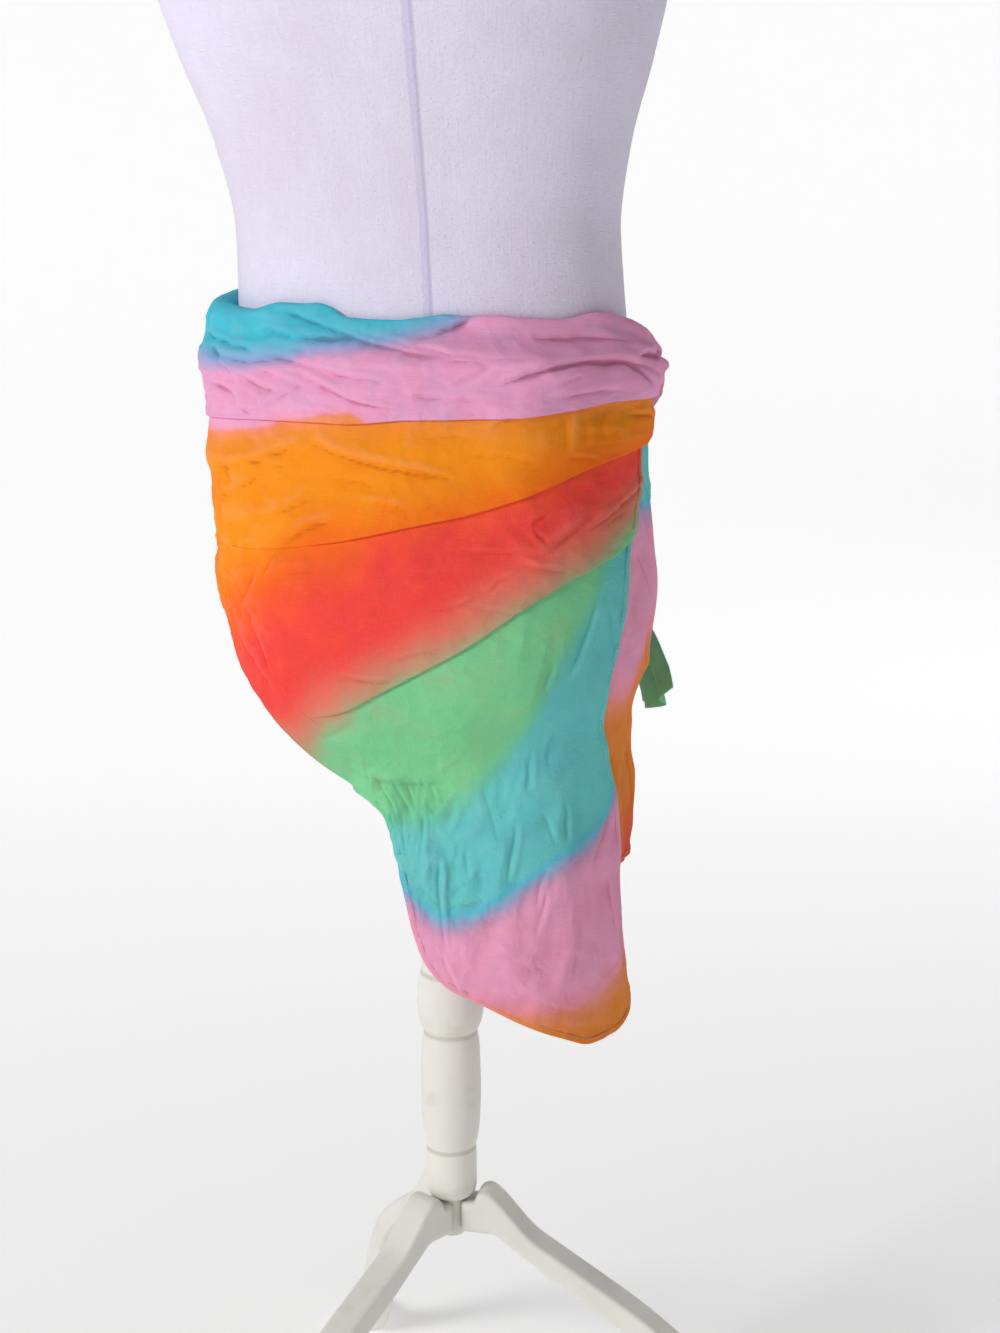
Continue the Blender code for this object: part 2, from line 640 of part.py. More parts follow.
def build_tail(name, material, part):
    """A tied corner: from under the knot, widening and pleated once, to its slanted end."""
    angle, level, long, tall, deep = KNOT
    end_angle, end_height, end_width, end_radius = TAILS[name]
    side = -1.0 if end_angle < angle else 1.0
    across = np.linspace(-1.0, 1.0, 7)
    top_along = side * 0.0085 + 0.0075 * across
    top_height = level - tall * np.sqrt(1 - (top_along / long) ** 2) - TAIL_GAP
    top = on_roll(top_along, top_height, np.full(7, deep))
    pleat = 0.5 * np.cos(across * math.pi)
    end_turn = end_angle + np.degrees(across * end_width / 2 / end_radius)
    low = end_height + 0.014 * side * across + 0.010 * across ** 2
    end = place(end_turn, low, end_radius + 0.009 * pleat)
    rows = []
    for share in np.linspace(0.0, 1.0, 9):
        mixed = top + (end - top) * share
        mixed[:, :2] *= 1 - 0.03 * math.sin(share * math.pi)
        rows.append(mixed)
    wall(name, np.stack(rows), False, material, part)


def stand_on_origin(part):
    """Moves every piece so that the bottom centre of the whole part's box is the origin."""
    bpy.context.view_layer.update()
    graph = bpy.context.evaluated_depsgraph_get()
    corners = []
    for piece in part.objects:
        shape = piece.evaluated_get(graph).to_mesh()
        corners += [piece.matrix_world @ vertex.co for vertex in shape.vertices]
    low = [min(corner[axis] for corner in corners) for axis in range(3)]
    high = [max(corner[axis] for corner in corners) for axis in range(3)]
    middle = Vector(((low[0] + high[0]) / 2, (low[1] + high[1]) / 2, low[2]))
    anchor = bpy.data.objects.new("sarong_on_form", None)
    part.objects.link(anchor)
    for piece in part.objects:
        if piece is not anchor:
            piece.parent = anchor
    anchor.location = -middle
    print("axis of the stand:", tuple(round(value, 5) for value in anchor.location))


def main():
    """Builds the whole part."""
    for old in list(bpy.data.objects):
        bpy.data.objects.remove(old)
    part = collections()
    build_form(part)
    build_neck_cap(part)
    build_pole(part)
    build_hub(part)
    for name, angle in LEG_ANGLES.items():
        build_leg(name, angle, part)
    build_waist_roll(part)
    build_hip_fold(part)
    build_seat_fold(part)
    build_back_fall(part)
    build_front_fall(part)
    build_knot(part)
    build_tail("tail_long", "dyed_cotton_green", part)
    build_tail("tail_short", "dyed_cotton_orange", part)
    stand_on_origin(part)


main()
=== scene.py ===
# %% [markdown]
# # A short sarong, tied low on a dress form
# The cloth is one thin cotton rectangle, dyed in soft bands. It is folded over itself, wound round
# the hips of a limbless dress form and knotted at the wearer's right front. Below, a turned wooden
# pole stands on three legs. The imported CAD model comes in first, because every piece has to sit on it.

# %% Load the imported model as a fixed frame
import math

import bpy
import numpy as np
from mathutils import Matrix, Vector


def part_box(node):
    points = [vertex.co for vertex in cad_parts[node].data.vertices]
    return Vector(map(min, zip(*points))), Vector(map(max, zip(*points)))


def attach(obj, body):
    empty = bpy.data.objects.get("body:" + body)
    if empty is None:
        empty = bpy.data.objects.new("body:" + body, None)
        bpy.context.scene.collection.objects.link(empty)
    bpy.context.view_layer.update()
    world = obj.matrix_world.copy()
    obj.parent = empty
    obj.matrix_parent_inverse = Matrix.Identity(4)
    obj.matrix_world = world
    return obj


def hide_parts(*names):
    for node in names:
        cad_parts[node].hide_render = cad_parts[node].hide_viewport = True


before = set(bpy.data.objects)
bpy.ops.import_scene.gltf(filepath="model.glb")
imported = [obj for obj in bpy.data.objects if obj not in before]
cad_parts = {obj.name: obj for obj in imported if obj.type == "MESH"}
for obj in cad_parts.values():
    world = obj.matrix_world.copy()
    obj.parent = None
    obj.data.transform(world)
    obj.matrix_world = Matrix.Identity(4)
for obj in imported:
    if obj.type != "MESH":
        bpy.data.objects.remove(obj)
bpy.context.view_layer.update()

POLE_LOW, POLE_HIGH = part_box("stand_pole")
AXIS_X = (POLE_LOW[0] + POLE_HIGH[0]) / 2
AXIS_Y = (POLE_LOW[1] + POLE_HIGH[1]) / 2
print("nodes:", len(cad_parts), " pole's axis at", round(AXIS_X, 4), round(AXIS_Y, 4))

# %% [markdown]
# ## Camera and light
# The photograph looks at the form's back from a little to its right, from chest height, pitched
# down. A focal length in pixels turns into a lens once the sensor's long side is fixed. One big
# soft lamp stands at the upper left, since the right flank is about half as bright as the left, and
# two weak ones lift the far side and the hanging corner. The Standard view shows a dye as it was
# mixed, where the default view would wash vivid ones out.

# %% Camera, lamps and world
PHOTO_LONG_SIDE = 1333
FOCAL_PIXELS = 2400
SENSOR = 36.0
CAMERA_DISTANCE = 1.70
CAMERA_AROUND = math.radians(15)
CAMERA_HEIGHT = 1.15
CAMERA_PITCH = math.radians(75)
CAMERA_YAW = math.radians(15 - 1.27)


def add_camera():
    """The photograph's camera: that far from the pole's axis, turned and pitched towards it."""
    lens = bpy.data.cameras.new("photo_camera")
    lens.sensor_width = SENSOR
    lens.lens = FOCAL_PIXELS * SENSOR / PHOTO_LONG_SIDE
    camera = bpy.data.objects.new("photo_camera", lens)
    camera.location = (AXIS_X + CAMERA_DISTANCE * math.sin(CAMERA_AROUND),
                       AXIS_Y - CAMERA_DISTANCE * math.cos(CAMERA_AROUND), CAMERA_HEIGHT)
    camera.rotation_euler = (CAMERA_PITCH, 0.0, CAMERA_YAW)
    bpy.context.scene.collection.objects.link(camera)
    bpy.context.scene.camera = camera


def add_lamp(name, place_at, aim_at, size, power):
    """A square area lamp at a place, turned to face a point."""
    light = bpy.data.lights.new(name, "AREA")
    light.size = size
    light.energy = power
    lamp = bpy.data.objects.new(name, light)
    lamp.location = place_at
    away = np.subtract(place_at, aim_at)
    flat = math.hypot(away[0], away[1])
    lamp.rotation_euler = (math.atan2(flat, away[2]), 0.0, math.atan2(away[0], -away[1]))
    bpy.context.scene.collection.objects.link(lamp)


MIDDLE = (AXIS_X, AXIS_Y, 0.8)
add_camera()
add_lamp("key", (-2.1, -2.5, 2.3), MIDDLE, 1.0, 67.0)
add_lamp("far_side", (1.2, 2.8, 2.0), MIDDLE, 1.6, 8.0)
add_lamp("low_fill", (0.9, -2.7, 0.4), MIDDLE, 1.2, 7.0)
WORLD_STRENGTH = 0.18
bpy.context.scene.view_settings.view_transform = "Standard"
world = bpy.data.worlds.new("soft_room")
bpy.context.scene.world = world
world.use_nodes = True
world.node_tree.nodes["Background"].inputs["Color"].default_value = (1.0, 1.0, 1.0, 1.0)
world.node_tree.nodes["Background"].inputs["Strength"].default_value = WORLD_STRENGTH

# %% [markdown]
# ## Shader maths as Python
# A material here is written as an expression. A small class wraps a socket, and its operators add
# the Math nodes. Colours are mixed by Mix nodes, because a Math node would turn them grey.

# %% Sockets with operators, and one method for every other node
RGBA_FACTOR, RGBA_A, RGBA_B, RGBA_RESULT = 0, 6, 7, 2


class Wire:
    """An output socket that can be added, subtracted, multiplied and divided."""

    def __init__(self, sketch, socket):
        self.sketch = sketch
        self.socket = socket

    def maths(self, operation, *values):
        """A Math node over the values."""
        return self.sketch.node("ShaderNodeMath", {"operation": operation}, dict(enumerate(values)))

    def __add__(self, other):
        return self.maths("ADD", self, other)

    def __sub__(self, other):
        return self.maths("SUBTRACT", self, other)

    def __rsub__(self, other):
        return self.maths("SUBTRACT", other, self)

    def __mul__(self, other):
        return self.maths("MULTIPLY", self, other)

    def __truediv__(self, other):
        return self.maths("DIVIDE", self, other)

    __radd__ = __add__
    __rmul__ = __mul__

    def absolute(self):
        """The value without its sign."""
        return self.maths("ABSOLUTE", self)

    def fraction(self):
        """What is left of the value once its whole number is taken off."""
        return self.maths("FRACT", self)

    def between(self, low, high):
        """0 below low, 1 above high and an easy S between."""
        settings = {"interpolation_type": "SMOOTHSTEP"}
        return self.sketch.node("ShaderNodeMapRange", settings,
                                {"Value": self, "From Min": low, "From Max": high})


class Sketch:
    """One material: its node tree, and short ways to add nodes to it."""

    def __init__(self, name, roughness):
        self.material = bpy.data.materials.new(name)
        self.material.use_nodes = True
        self.tree = self.material.node_tree
        self.skin = self.tree.nodes["Principled BSDF"]
        self.set_skin("Roughness", roughness)

    def feed(self, socket, value):
        """Links a wire to a socket, or sets a plain value on it."""
        if isinstance(value, Wire):
            self.tree.links.new(value.socket, socket)
        else:
            socket.default_value = value

    def node(self, kind, settings=None, sockets=None, output=0):
        """Adds a node: its settings first, a ramp's stops among them, then its sockets."""
        made = self.tree.nodes.new(kind)
        for key, value in (settings or {}).items():
            if key == "stops":
                self.set_stops(made.color_ramp.elements, value)
            else:
                setattr(made, key, value)
        for key, value in (sockets or {}).items():
            self.feed(made.inputs[key], value)
        return Wire(self, made.outputs[output])

    @staticmethod
    def set_stops(elements, stops):
        """Fills a colour ramp with (position, colour) rows."""
        while len(elements) > 1:
            elements.remove(elements[-1])
        elements[0].position, elements[0].color = stops[0]
        for position, colour in stops[1:]:
            elements.new(position).color = colour

    def part(self, where, index):
        """One part of a vector: 0 for X, 1 for Y and 2 for Z."""
        return self.node("ShaderNodeSeparateXYZ", {}, {0: where}, index)

    def noise(self, where, scale, detail=2.0, kind="FBM"):
        """A noise value at a vector, with that many cells in a metre."""
        return self.node("ShaderNodeTexNoise", {"noise_type": kind},
                         {"Vector": where, "Scale": scale, "Detail": detail})

    def stretched(self, where, scale):
        """The vector with its axes scaled, so that a pattern runs long one way."""
        return self.node("ShaderNodeMapping", {}, {"Vector": where, "Scale": scale})

    def blend(self, factor, low, high, way="MIX"):
        """Two colours mixed by a factor."""
        settings = {"data_type": "RGBA", "blend_type": way}
        return self.node("ShaderNodeMix", settings,
                         {RGBA_FACTOR: factor, RGBA_A: low, RGBA_B: high}, RGBA_RESULT)

    def set_skin(self, name, value):
        """Feeds one socket of the Principled shader."""
        self.feed(self.skin.inputs[name], value)

    def bump(self, height, distance, strength=1.0):
        """A relief of that many metres, on the Normal."""
        self.set_skin("Normal", self.node("ShaderNodeBump", {}, {
            "Height": height, "Distance": distance, "Strength": strength}))


def paint(red, green, blue):
    """A colour given as it shows on screen, from 0 to 255, made linear for a shader."""
    share = np.array([red, green, blue]) / 255.0
    linear = np.where(share <= 0.04045, share / 12.92, ((share + 0.055) / 1.055) ** 2.4)
    return (*linear.tolist(), 1.0)


print("a mid grey is", [round(part, 3) for part in paint(128, 128, 128)[:3]])

# %% [markdown]
# ## The cotton's finish
# The cloth is hand dyed in bands that bleed into each other along its length. Every point of the
# mesh carries one number, "dye", which says how far down the bands it lies, and a ramp turns the
# number into a colour. A second number, "relief_mm", says how deep in a crease the point lies, and
# from it the ridges are painted a little paler, as painted highlight, and the troughs darker, as
# painted shade. The threads show as faint streaks both ways, and the finest crumples are a bump.

# %% Dyed cotton
DYES = (
    (-1.0, (118, 200, 150)), (-0.5, (92, 192, 178)), (0.0, (66, 190, 212)), (0.5, (132, 168, 212)),
    (0.8, (186, 160, 204)), (1.0, (238, 162, 202)), (1.3, (242, 158, 186)), (1.5, (244, 142, 100)),
    (1.7, (243, 141, 44)), (2.0, (248, 144, 1)), (2.3, (248, 116, 8)), (2.5, (249, 100, 26)),
    (2.8, (249, 84, 48)), (3.0, (244, 66, 60)), (3.12, (243, 78, 68)),
    (3.3, (234, 104, 88)), (3.5, (216, 130, 106)),
    (3.72, (186, 154, 118)), (3.88, (146, 188, 138)), (4.0, (122, 206, 146)), (4.5, (108, 200, 170)),
    (5.0, (104, 200, 200)), (5.2, (90, 192, 214)), (5.5, (158, 166, 204)), (5.8, (214, 156, 190)),
    (6.0, (240, 160, 194)), (6.4, (241, 147, 162)), (6.6, (236, 140, 108)), (7.0, (234, 136, 48)),
    (7.5, (230, 112, 45)), (8.0, (226, 90, 62)),
)
DYE_FIRST, DYE_LAST = DYES[0][0], DYES[-1][0]
# how many dyes a band's edge wanders by, in soft patches and along the threads
BLEED, THREAD_BLEED = 0.34, 0.16
# metres: a stitch with the gap after it, and how far in from the edge the line of stitches runs
STITCH_PITCH, STITCH_LINE = 0.0033, 0.0039


def stitches(cloth, along):
    """1 on the thread of a straight seam: a dash in each pitch, on a line along the hem."""
    aside = (cloth.part(along, 0) - STITCH_LINE).absolute()
    step = (cloth.part(along, 1) / STITCH_PITCH).fraction()
    dash = step.between(0.10, 0.20) * (1 - step.between(0.78, 0.88))
    return dash * (1 - aside.between(0.0002, 0.0005))


def dyed_cotton(name, stitched=False):
    """Bands from the dye number, streaked by the threads, with slubs and sharp little crumples, painted
    highlight on crease ridges and painted shade in crease troughs.

    The crumples are facets: the distance to the nearest of many scattered points, in bent space.
    """
    cloth = Sketch(name, 0.82)
    along = cloth.node("ShaderNodeUVMap", {"uv_map": "cloth"})
    dye = cloth.node("ShaderNodeAttribute", {"attribute_name": "dye"}, output=2)
    bleed = cloth.noise(along, 34.0, 4.0) - 0.5
    threads = cloth.noise(cloth.stretched(along, (1.0, 22.0, 1.0)), 60.0, 3.0) - 0.5
    span = DYE_LAST - DYE_FIRST
    share = (dye + bleed * BLEED + threads * THREAD_BLEED - DYE_FIRST) / span
    stops = [((at - DYE_FIRST) / span, paint(*colour)) for at, colour in DYES]
    bands = cloth.node("ShaderNodeValToRGB", {"stops": stops}, {0: share})
    weft = cloth.noise(cloth.stretched(along, (1.0, 20.0, 1.0)), 110.0, 2.0)
    warp = cloth.noise(cloth.stretched(along, (20.0, 1.0, 1.0)), 110.0, 2.0)
    streaks = (weft + warp).between(0.72, 1.28)
    worn = cloth.noise(along, 17.0, 5.0).between(0.35, 0.70)
    relief_mm = cloth.node("ShaderNodeAttribute", {"attribute_name": "relief_mm"}, output=2)
    # the crease relief, for painted highlight on the ridges and painted shade in the troughs
    ridge, trough = relief_mm.between(0.2, 1.8), (0 - relief_mm).between(0.15, 2.1)
    pale = cloth.blend(streaks * 0.025 + ridge * 0.035, bands, paint(255, 250, 244))
    deep = cloth.blend(worn * 0.10, pale, paint(150, 80, 70), "MULTIPLY")
    cloth.set_skin("Roughness", 0.74 + 0.14 * streaks)
    cloth.set_skin("Specular IOR Level", 0.08)
    crumple = cloth.noise(along, 62.0, 4.0, "RIDGED_MULTIFRACTAL")
    fine = cloth.noise(cloth.stretched(along, (1.0, 2.4, 1.0)), 150.0, 3.0)
    bend = cloth.node("ShaderNodeTexNoise", {}, {"Vector": along, "Scale": 36.0, "Detail": 3.0}, 1)
    bent = cloth.node("ShaderNodeVectorMath", {"operation": "MULTIPLY_ADD"},
                      {0: bend, 1: (0.016, 0.016, 0.0), 2: cloth.stretched(along, (1.0, 1.35, 1.0))})
    patch = cloth.noise(along, 11.0, 2.0).between(0.36, 0.66)
    facets = cloth.node("ShaderNodeTexVoronoi", {}, {"Vector": bent, "Scale": 62.0}) * patch
    sewn = stitches(cloth, along) if stitched else 0.0
    # painted shade: the crease troughs darkened
    crease_shaded = cloth.blend(trough * 0.42, deep, paint(150, 96, 96), "MULTIPLY")
    if stitched:
        crease_shaded = cloth.blend(sewn * 0.28, crease_shaded, paint(255, 246, 236))
    cloth.set_skin("Base Color", crease_shaded)
    cloth.bump(crumple * 0.28 + (weft + warp) * 0.12 + fine * 0.22 + sewn * 0.4 + facets * 1.0, 0.0017, 0.9)
    return cloth.material


COTTON, STITCHED = dyed_cotton("dyed_cotton"), dyed_cotton("stitched_cotton", True)
print("dyed cotton:", len(DYES), "dyes from", DYE_FIRST, "to", DYE_LAST)

# %% [markdown]
# ## The form's shape, and where the cloth lies on it
# The CAD model lofts the form through rounded ovals and hangs each stretch of cloth a few
# millimetres off it. The finer pieces here have to lie in the same place, so the same sizes are
# repeated. Angles are degrees round the pole, from 0 at the form's back through 90 at its right.

# %% Sizes shared with the CAD model
# height, half width, depth to the back, depth to the front, centre along Y, power (2 is an ellipse)
FORM_SECTIONS = (
    (0.606, 0.030, 0.030, 0.030, 0.000, 2.00), (0.610, 0.058, 0.054, 0.050, 0.000, 2.10),
    (0.620, 0.078, 0.074, 0.066, 0.000, 2.20), (0.640, 0.103, 0.095, 0.082, -0.002, 2.25),
    (0.670, 0.127, 0.111, 0.094, -0.004, 2.30), (0.710, 0.1455, 0.121, 0.100, -0.006, 2.30),
    (0.770, 0.1535, 0.124, 0.103, -0.006, 2.30), (0.830, 0.148, 0.115, 0.104, -0.004, 2.30),
    (0.890, 0.1455, 0.101, 0.102, 0.000, 2.25), (0.950, 0.139, 0.088, 0.097, 0.004, 2.20),
    (1.010, 0.137, 0.083, 0.092, 0.004, 2.20), (1.070, 0.147, 0.086, 0.092, 0.000, 2.20),
    (1.130, 0.166, 0.096, 0.092, -0.006, 2.25), (1.180, 0.1785, 0.104, 0.094, -0.010, 2.30),
    (1.240, 0.184, 0.107, 0.091, -0.012, 2.40), (1.300, 0.184, 0.102, 0.083, -0.014, 2.50),
    (1.345, 0.168, 0.090, 0.072, -0.014, 2.50), (1.375, 0.146, 0.080, 0.064, -0.012, 2.40),
    (1.395, 0.118, 0.071, 0.059, -0.010, 2.25), (1.410, 0.090, 0.064, 0.057, -0.006, 2.10),
    (1.430, 0.065, 0.058, 0.055, -0.002, 2.00), (1.455, 0.056, 0.055, 0.054, 0.002, 2.00),
    (1.480, 0.054, 0.054, 0.054, 0.003, 2.00),
)
# angle, height, how far out, half spread in degrees, half spread in height
FORM_SWELLS = (
    (-30.0, 0.705, 0.009, 24.0, 0.060), (30.0, 0.705, 0.009, 24.0, 0.060),
    (148.0, 1.185, 0.034, 27.0, 0.050), (212.0, 1.185, 0.034, 27.0, 0.050),
    (180.0, 0.850, 0.006, 50.0, 0.080),
)
FORM_BOTTOM, FORM_TOP = 0.606, 1.480
LEAN, LEAN_FROM, LEAN_START = math.tan(math.radians(2.6)), 0.62, 0.0025
WALL, AIR = 0.0016, 0.0007
LEVEL = WALL + AIR
REST = 0.0010 + WALL / 2
LIP_GAP, LAP, TUCK = 0.0006, 0.016, 0.0014
# angle, roll's top, roll's foot, hip stretch's foot
ROUND_EDGES = (
    (-100, 0.962, 0.880, 0.795), (-75, 0.960, 0.881, 0.795), (-58, 0.960, 0.885, 0.797),
    (-47, 0.966, 0.887, 0.799), (-34, 0.966, 0.888, 0.804), (-19, 0.958, 0.889, 0.811),
    (6, 0.958, 0.895, 0.824), (24, 0.961, 0.897, 0.833), (38, 0.961, 0.898, 0.843),
    (60, 0.959, 0.902, 0.861), (70, 0.960, 0.904, 0.866), (82, 0.954, 0.903, 0.869),
    (96, 0.941, 0.900, 0.872), (112, 0.927, 0.895, 0.873), (128, 0.922, 0.891, 0.872),
    (145, 0.928, 0.889, 0.862), (165, 0.942, 0.888, 0.846), (190, 0.952, 0.884, 0.826),
    (220, 0.958, 0.880, 0.806),
)
# angle, seat stretch's foot, hem
BACK_EDGES = (
    (-100, 0.675, 0.622), (-75, 0.676, 0.622), (-47, 0.681, 0.622), (-34, 0.685, 0.623),
    (-24, 0.690, 0.623), (-13, 0.700, 0.614), (-8.5, 0.706, 0.593), (-4.5, 0.711, 0.562),
    (-0.5, 0.716, 0.528), (5, 0.723, 0.503), (12, 0.732, 0.490), (24, 0.749, 0.478),
    (38, 0.772, 0.462), (49, 0.786, 0.450), (60, 0.796, 0.440), (70, 0.804, 0.440),
    (84, 0.830, 0.452),
)
# height, angle of the back's free right edge
RIGHT_EDGE = (
    (0.440, 80), (0.465, 81), (0.500, 76.5), (0.550, 74), (0.600, 73), (0.640, 70), (0.670, 67),
    (0.700, 64), (0.724, 64), (0.744, 66), (0.776, 69), (0.800, 71.5), (0.816, 75.5),
    (0.835, 80), (0.855, 82), (0.900, 84),
)
# angle, the front's hem
FRONT_HEM = (
    (40, 0.586), (60, 0.573), (80, 0.562), (100, 0.556), (112, 0.559), (130, 0.572),
    (150, 0.588), (180, 0.602), (210, 0.612), (240, 0.620), (260, 0.622),
)
SEAT_RIGHT, FALL_RIGHT = (0.885, 0.812), (0.828, 0.458)
LEFT_MARGIN, RIGHT_MARGIN, BACK_MIDDLE = -100.0, 48.0, 60.0
FRONT_TUCK = 0.0045
# angle, distance from the axis where the cloth hangs clear
HANGING = (
    (-120, 0.070), (-60, 0.072), (-40, 0.082), (-30, 0.094), (-20, 0.102), (-10, 0.105),
    (5, 0.107), (20, 0.114), (35, 0.124), (50, 0.132), (65, 0.136), (78, 0.137), (90, 0.132),
    (105, 0.129), (120, 0.122), (140, 0.108), (160, 0.097), (180, 0.090), (210, 0.077),
)
HANG_EASE = 0.008
# angle, then millimetres off the form at each of these heights
STAND_OFF_HEIGHTS = (0.955, 0.925, 0.888, 0.862, 0.830, 0.790, 0.720, 0.640)
STAND_OFF = (
    (-100, 18, 21, 14, 14, 11, 6, 3, 0), (-75, 18, 19, 12, 12, 9, 5, 2, 0),
    (-58, 12, 14, 9, 8, 6, 2, 0, 0), (-40, 5, 7, 4, 3, 1, 0, 0, 0), (-20, 3, 5, 3, 2, 1, 0, 0, 0),
    (40, 3, 5, 3, 2, 1, 0, 0, 0), (62, 3, 6, 4, 2, 1, 0, 0, 0), (80, 5, 12, 5, 2, 1, 0, 0, 0),
    (96, 8, 16, 6, 2, 0, 0, 0, 0), (110, 10, 18, 9, 4, 2, 1, 0, 0), (128, 12, 18, 13, 8, 4, 3, 1, 0),
    (150, 8, 12, 9, 7, 4, 3, 1, 0), (180, 6, 9, 7, 6, 4, 2, 1, 0), (210, 8, 12, 9, 8, 5, 3, 1, 0),
    (235, 15, 19, 14, 13, 9, 4, 2, 0),
)
# first angle, height, last angle, height, half width, how high
FOLDS = (
    (-95, 0.905, -28, 0.946, 0.010, 0.0030), (-70, 0.893, 20, 0.925, 0.009, 0.0018),
    (30, 0.928, 118, 0.908, 0.009, 0.0026), (140, 0.910, 215, 0.938, 0.010, 0.0028),
    (-88, 0.850, -35, 0.862, 0.010, 0.0026), (-40, 0.866, 66, 0.880, 0.008, 0.0016),
    (152, 0.872, 215, 0.850, 0.010, 0.0024), (150, 0.800, 205, 0.720, 0.012, 0.0026),
    (142, 0.790, 165, 0.640, 0.012, 0.0026), (28, 0.620, 34, 0.480, 0.012, 0.0026),
    (50, 0.640, 52, 0.470, 0.012, 0.0026), (67, 0.600, 70, 0.480, 0.008, 0.0018),
    (2, 0.610, 14, 0.520, 0.010, 0.0026), (96, 0.640, 98, 0.560, 0.010, 0.0024),
)
KNOT_ANGLE, KNOT_HEIGHT, KNOT_LONG, KNOT_TALL, KNOT_DEEP = 128.0, 0.893, 0.024, 0.021, 0.0125
print("form", FORM_BOTTOM, "to", FORM_TOP, " layers", round(LEVEL * 1000, 1), "mm apart")


# %% The form's and the cloth's surfaces as formulas
def smooth_lookup(table, at, turn=None):
    """The columns after a table's first, on a cubic between its rows that never overshoots.

    With turn, the table goes round and repeats after that many degrees.
    """
    rows = np.asarray(table, dtype=float)
    if turn:
        before, after = rows.copy(), rows.copy()
        before[:, 0] -= turn
        after[:, 0] += turn
        rows = np.concatenate([before, rows, after])
    x, y = rows[:, 0], rows[:, 1:]
    step = np.diff(x)[:, None]
    rise = np.diff(y, axis=0) / step
    slope = np.zeros_like(y)
    weight_a = 2 * step[1:] + step[:-1]
    weight_b = step[1:] + 2 * step[:-1]
    with np.errstate(divide="ignore", invalid="ignore"):
        mean = (weight_a + weight_b) / (weight_a / rise[:-1] + weight_b / rise[1:])
    slope[1:-1] = np.where(rise[:-1] * rise[1:] > 0, mean, 0.0)
    slope[0], slope[-1] = rise[0], rise[-1]
    at = np.clip(np.asarray(at, dtype=float), x[0], x[-1])
    cell = np.clip(np.searchsorted(x, at, side="right") - 1, 0, len(x) - 2)
    wide = step[cell, 0]
    t = ((at - x[cell]) / wide)[..., None]
    wide = wide[..., None]
    value = (y[cell] * (1 + 2 * t) * (1 - t) ** 2 + y[cell + 1] * t * t * (3 - 2 * t)
             + slope[cell] * wide * t * (1 - t) ** 2 - slope[cell + 1] * wide * t * t * (1 - t))
    return [value[..., column] for column in range(y.shape[1])]


def smooth_step(value, low, high):
    """0 below low, 1 above high, and an easy S between them."""
    t = np.clip((np.asarray(value, dtype=float) - low) / (high - low), 0.0, 1.0)
    return t * t * (3 - 2 * t)


def angle_apart(angle, centre):
    """Degrees from centre to angle, the short way round."""
    return (np.asarray(angle, dtype=float) - centre + 180.0) % 360.0 - 180.0


def form_radius(angle, height):
    """Distance from the middle line: (|sin/width|^p + |cos/depth|^p)^(-1/p), plus the swells."""
    half_width, back, front, _centre, power = smooth_lookup(FORM_SECTIONS, height)
    across = np.abs(np.sin(np.radians(angle)))
    along = np.cos(np.radians(angle))
    depth = np.where(along > 0, back, front)
    radius = ((across / half_width) ** power + (np.abs(along) / depth) ** power) ** (-1 / power)
    for centre, level, out, spread, tall in FORM_SWELLS:
        near = (angle_apart(angle, centre) / spread) ** 2 + ((height - level) / tall) ** 2
        radius = radius + out * np.exp(-near)
    return radius


def stand_off(angle, height):
    """How far the cloth stands off the form, read from the table in both directions."""
    grid = np.stack(smooth_lookup(STAND_OFF, angle, turn=360.0), axis=-1) / 1000.0
    levels = np.array(STAND_OFF_HEIGHTS)
    down = np.clip((levels[0] - height), 0.0, levels[0] - levels[-1])
    drops = levels[0] - levels
    cell = np.clip(np.searchsorted(drops, down, side="right") - 1, 0, len(levels) - 2)
    t = smooth_step((down - drops[cell]) / (drops[cell + 1] - drops[cell]), 0.0, 1.0)
    upper = np.take_along_axis(grid, cell[..., None], axis=-1)[..., 0]
    lower = np.take_along_axis(grid, cell[..., None] + 1, axis=-1)[..., 0]
    return upper + (lower - upper) * t


MM_PER_DEGREE = 2.6


def folds(angle, height):
    """The CAD's soft folds: each a bell-shaped ridge along a line, fading towards its ends."""
    raised_by = np.zeros(np.broadcast(angle, height).shape)
    for angle_a, height_a, angle_b, height_b, half_width, high in FOLDS:
        metres = math.radians(1.0) * 0.15
        run = np.array([(angle_b - angle_a) * metres, height_b - height_a])
        length = float(np.hypot(*run))
        across = angle_apart(angle, (angle_a + angle_b) / 2) * metres
        up = height - (height_a + height_b) / 2
        along = (across * run[0] + up * run[1]) / length
        aside = (across * run[1] - up * run[0]) / length
        fade = 1 - smooth_step(np.abs(along), 0.25 * length, 0.5 * length)
        raised_by += high * np.exp(-(aside / half_width) ** 2) * fade
    return raised_by


def cloth_radius(angle, height):
    """The cloth's inner side: the form, or the line where it hangs clear, whichever is further out."""
    form = form_radius(angle, height)
    hanging = smooth_lookup(HANGING, angle, turn=360.0)[0]
    beyond = form - hanging
    held = hanging + 0.5 * (beyond + np.sqrt(beyond ** 2 + HANG_EASE ** 2))
    return held + stand_off(angle, height) + folds(angle, height)


def place(angle, height, radius):
    """A point at an angle, height and radius, in the frame's own place, leaning as the form does."""
    centre_y = smooth_lookup(FORM_SECTIONS, height)[3]
    centre_x = LEAN_START - LEAN * np.maximum(height - LEAN_FROM, 0.0)
    round_x = radius * np.sin(np.radians(angle))
    round_y = -radius * np.cos(np.radians(angle))
    return np.stack([AXIS_X + centre_x + round_x, AXIS_Y + centre_y + round_y,
                     height + 0.0 * radius], axis=-1)


# degrees from the back's middle over which each of these comes in on the left and goes on the right
LAP_COMES, LAP_GOES = (-76.0, -60.0), (140.0, 152.0)
RAISED_COMES, RAISED_GOES = (-94.0, -72.0), (153.0, 173.0)
INNER_COMES, INNER_GOES = (-32.0, -18.0), (24.0, 40.0)
# in lap depths: from where a stretch rises over the next one, and where its top is pressed in
RISES, PRESSED = (1.1, 2.3), (0.6, 1.2)


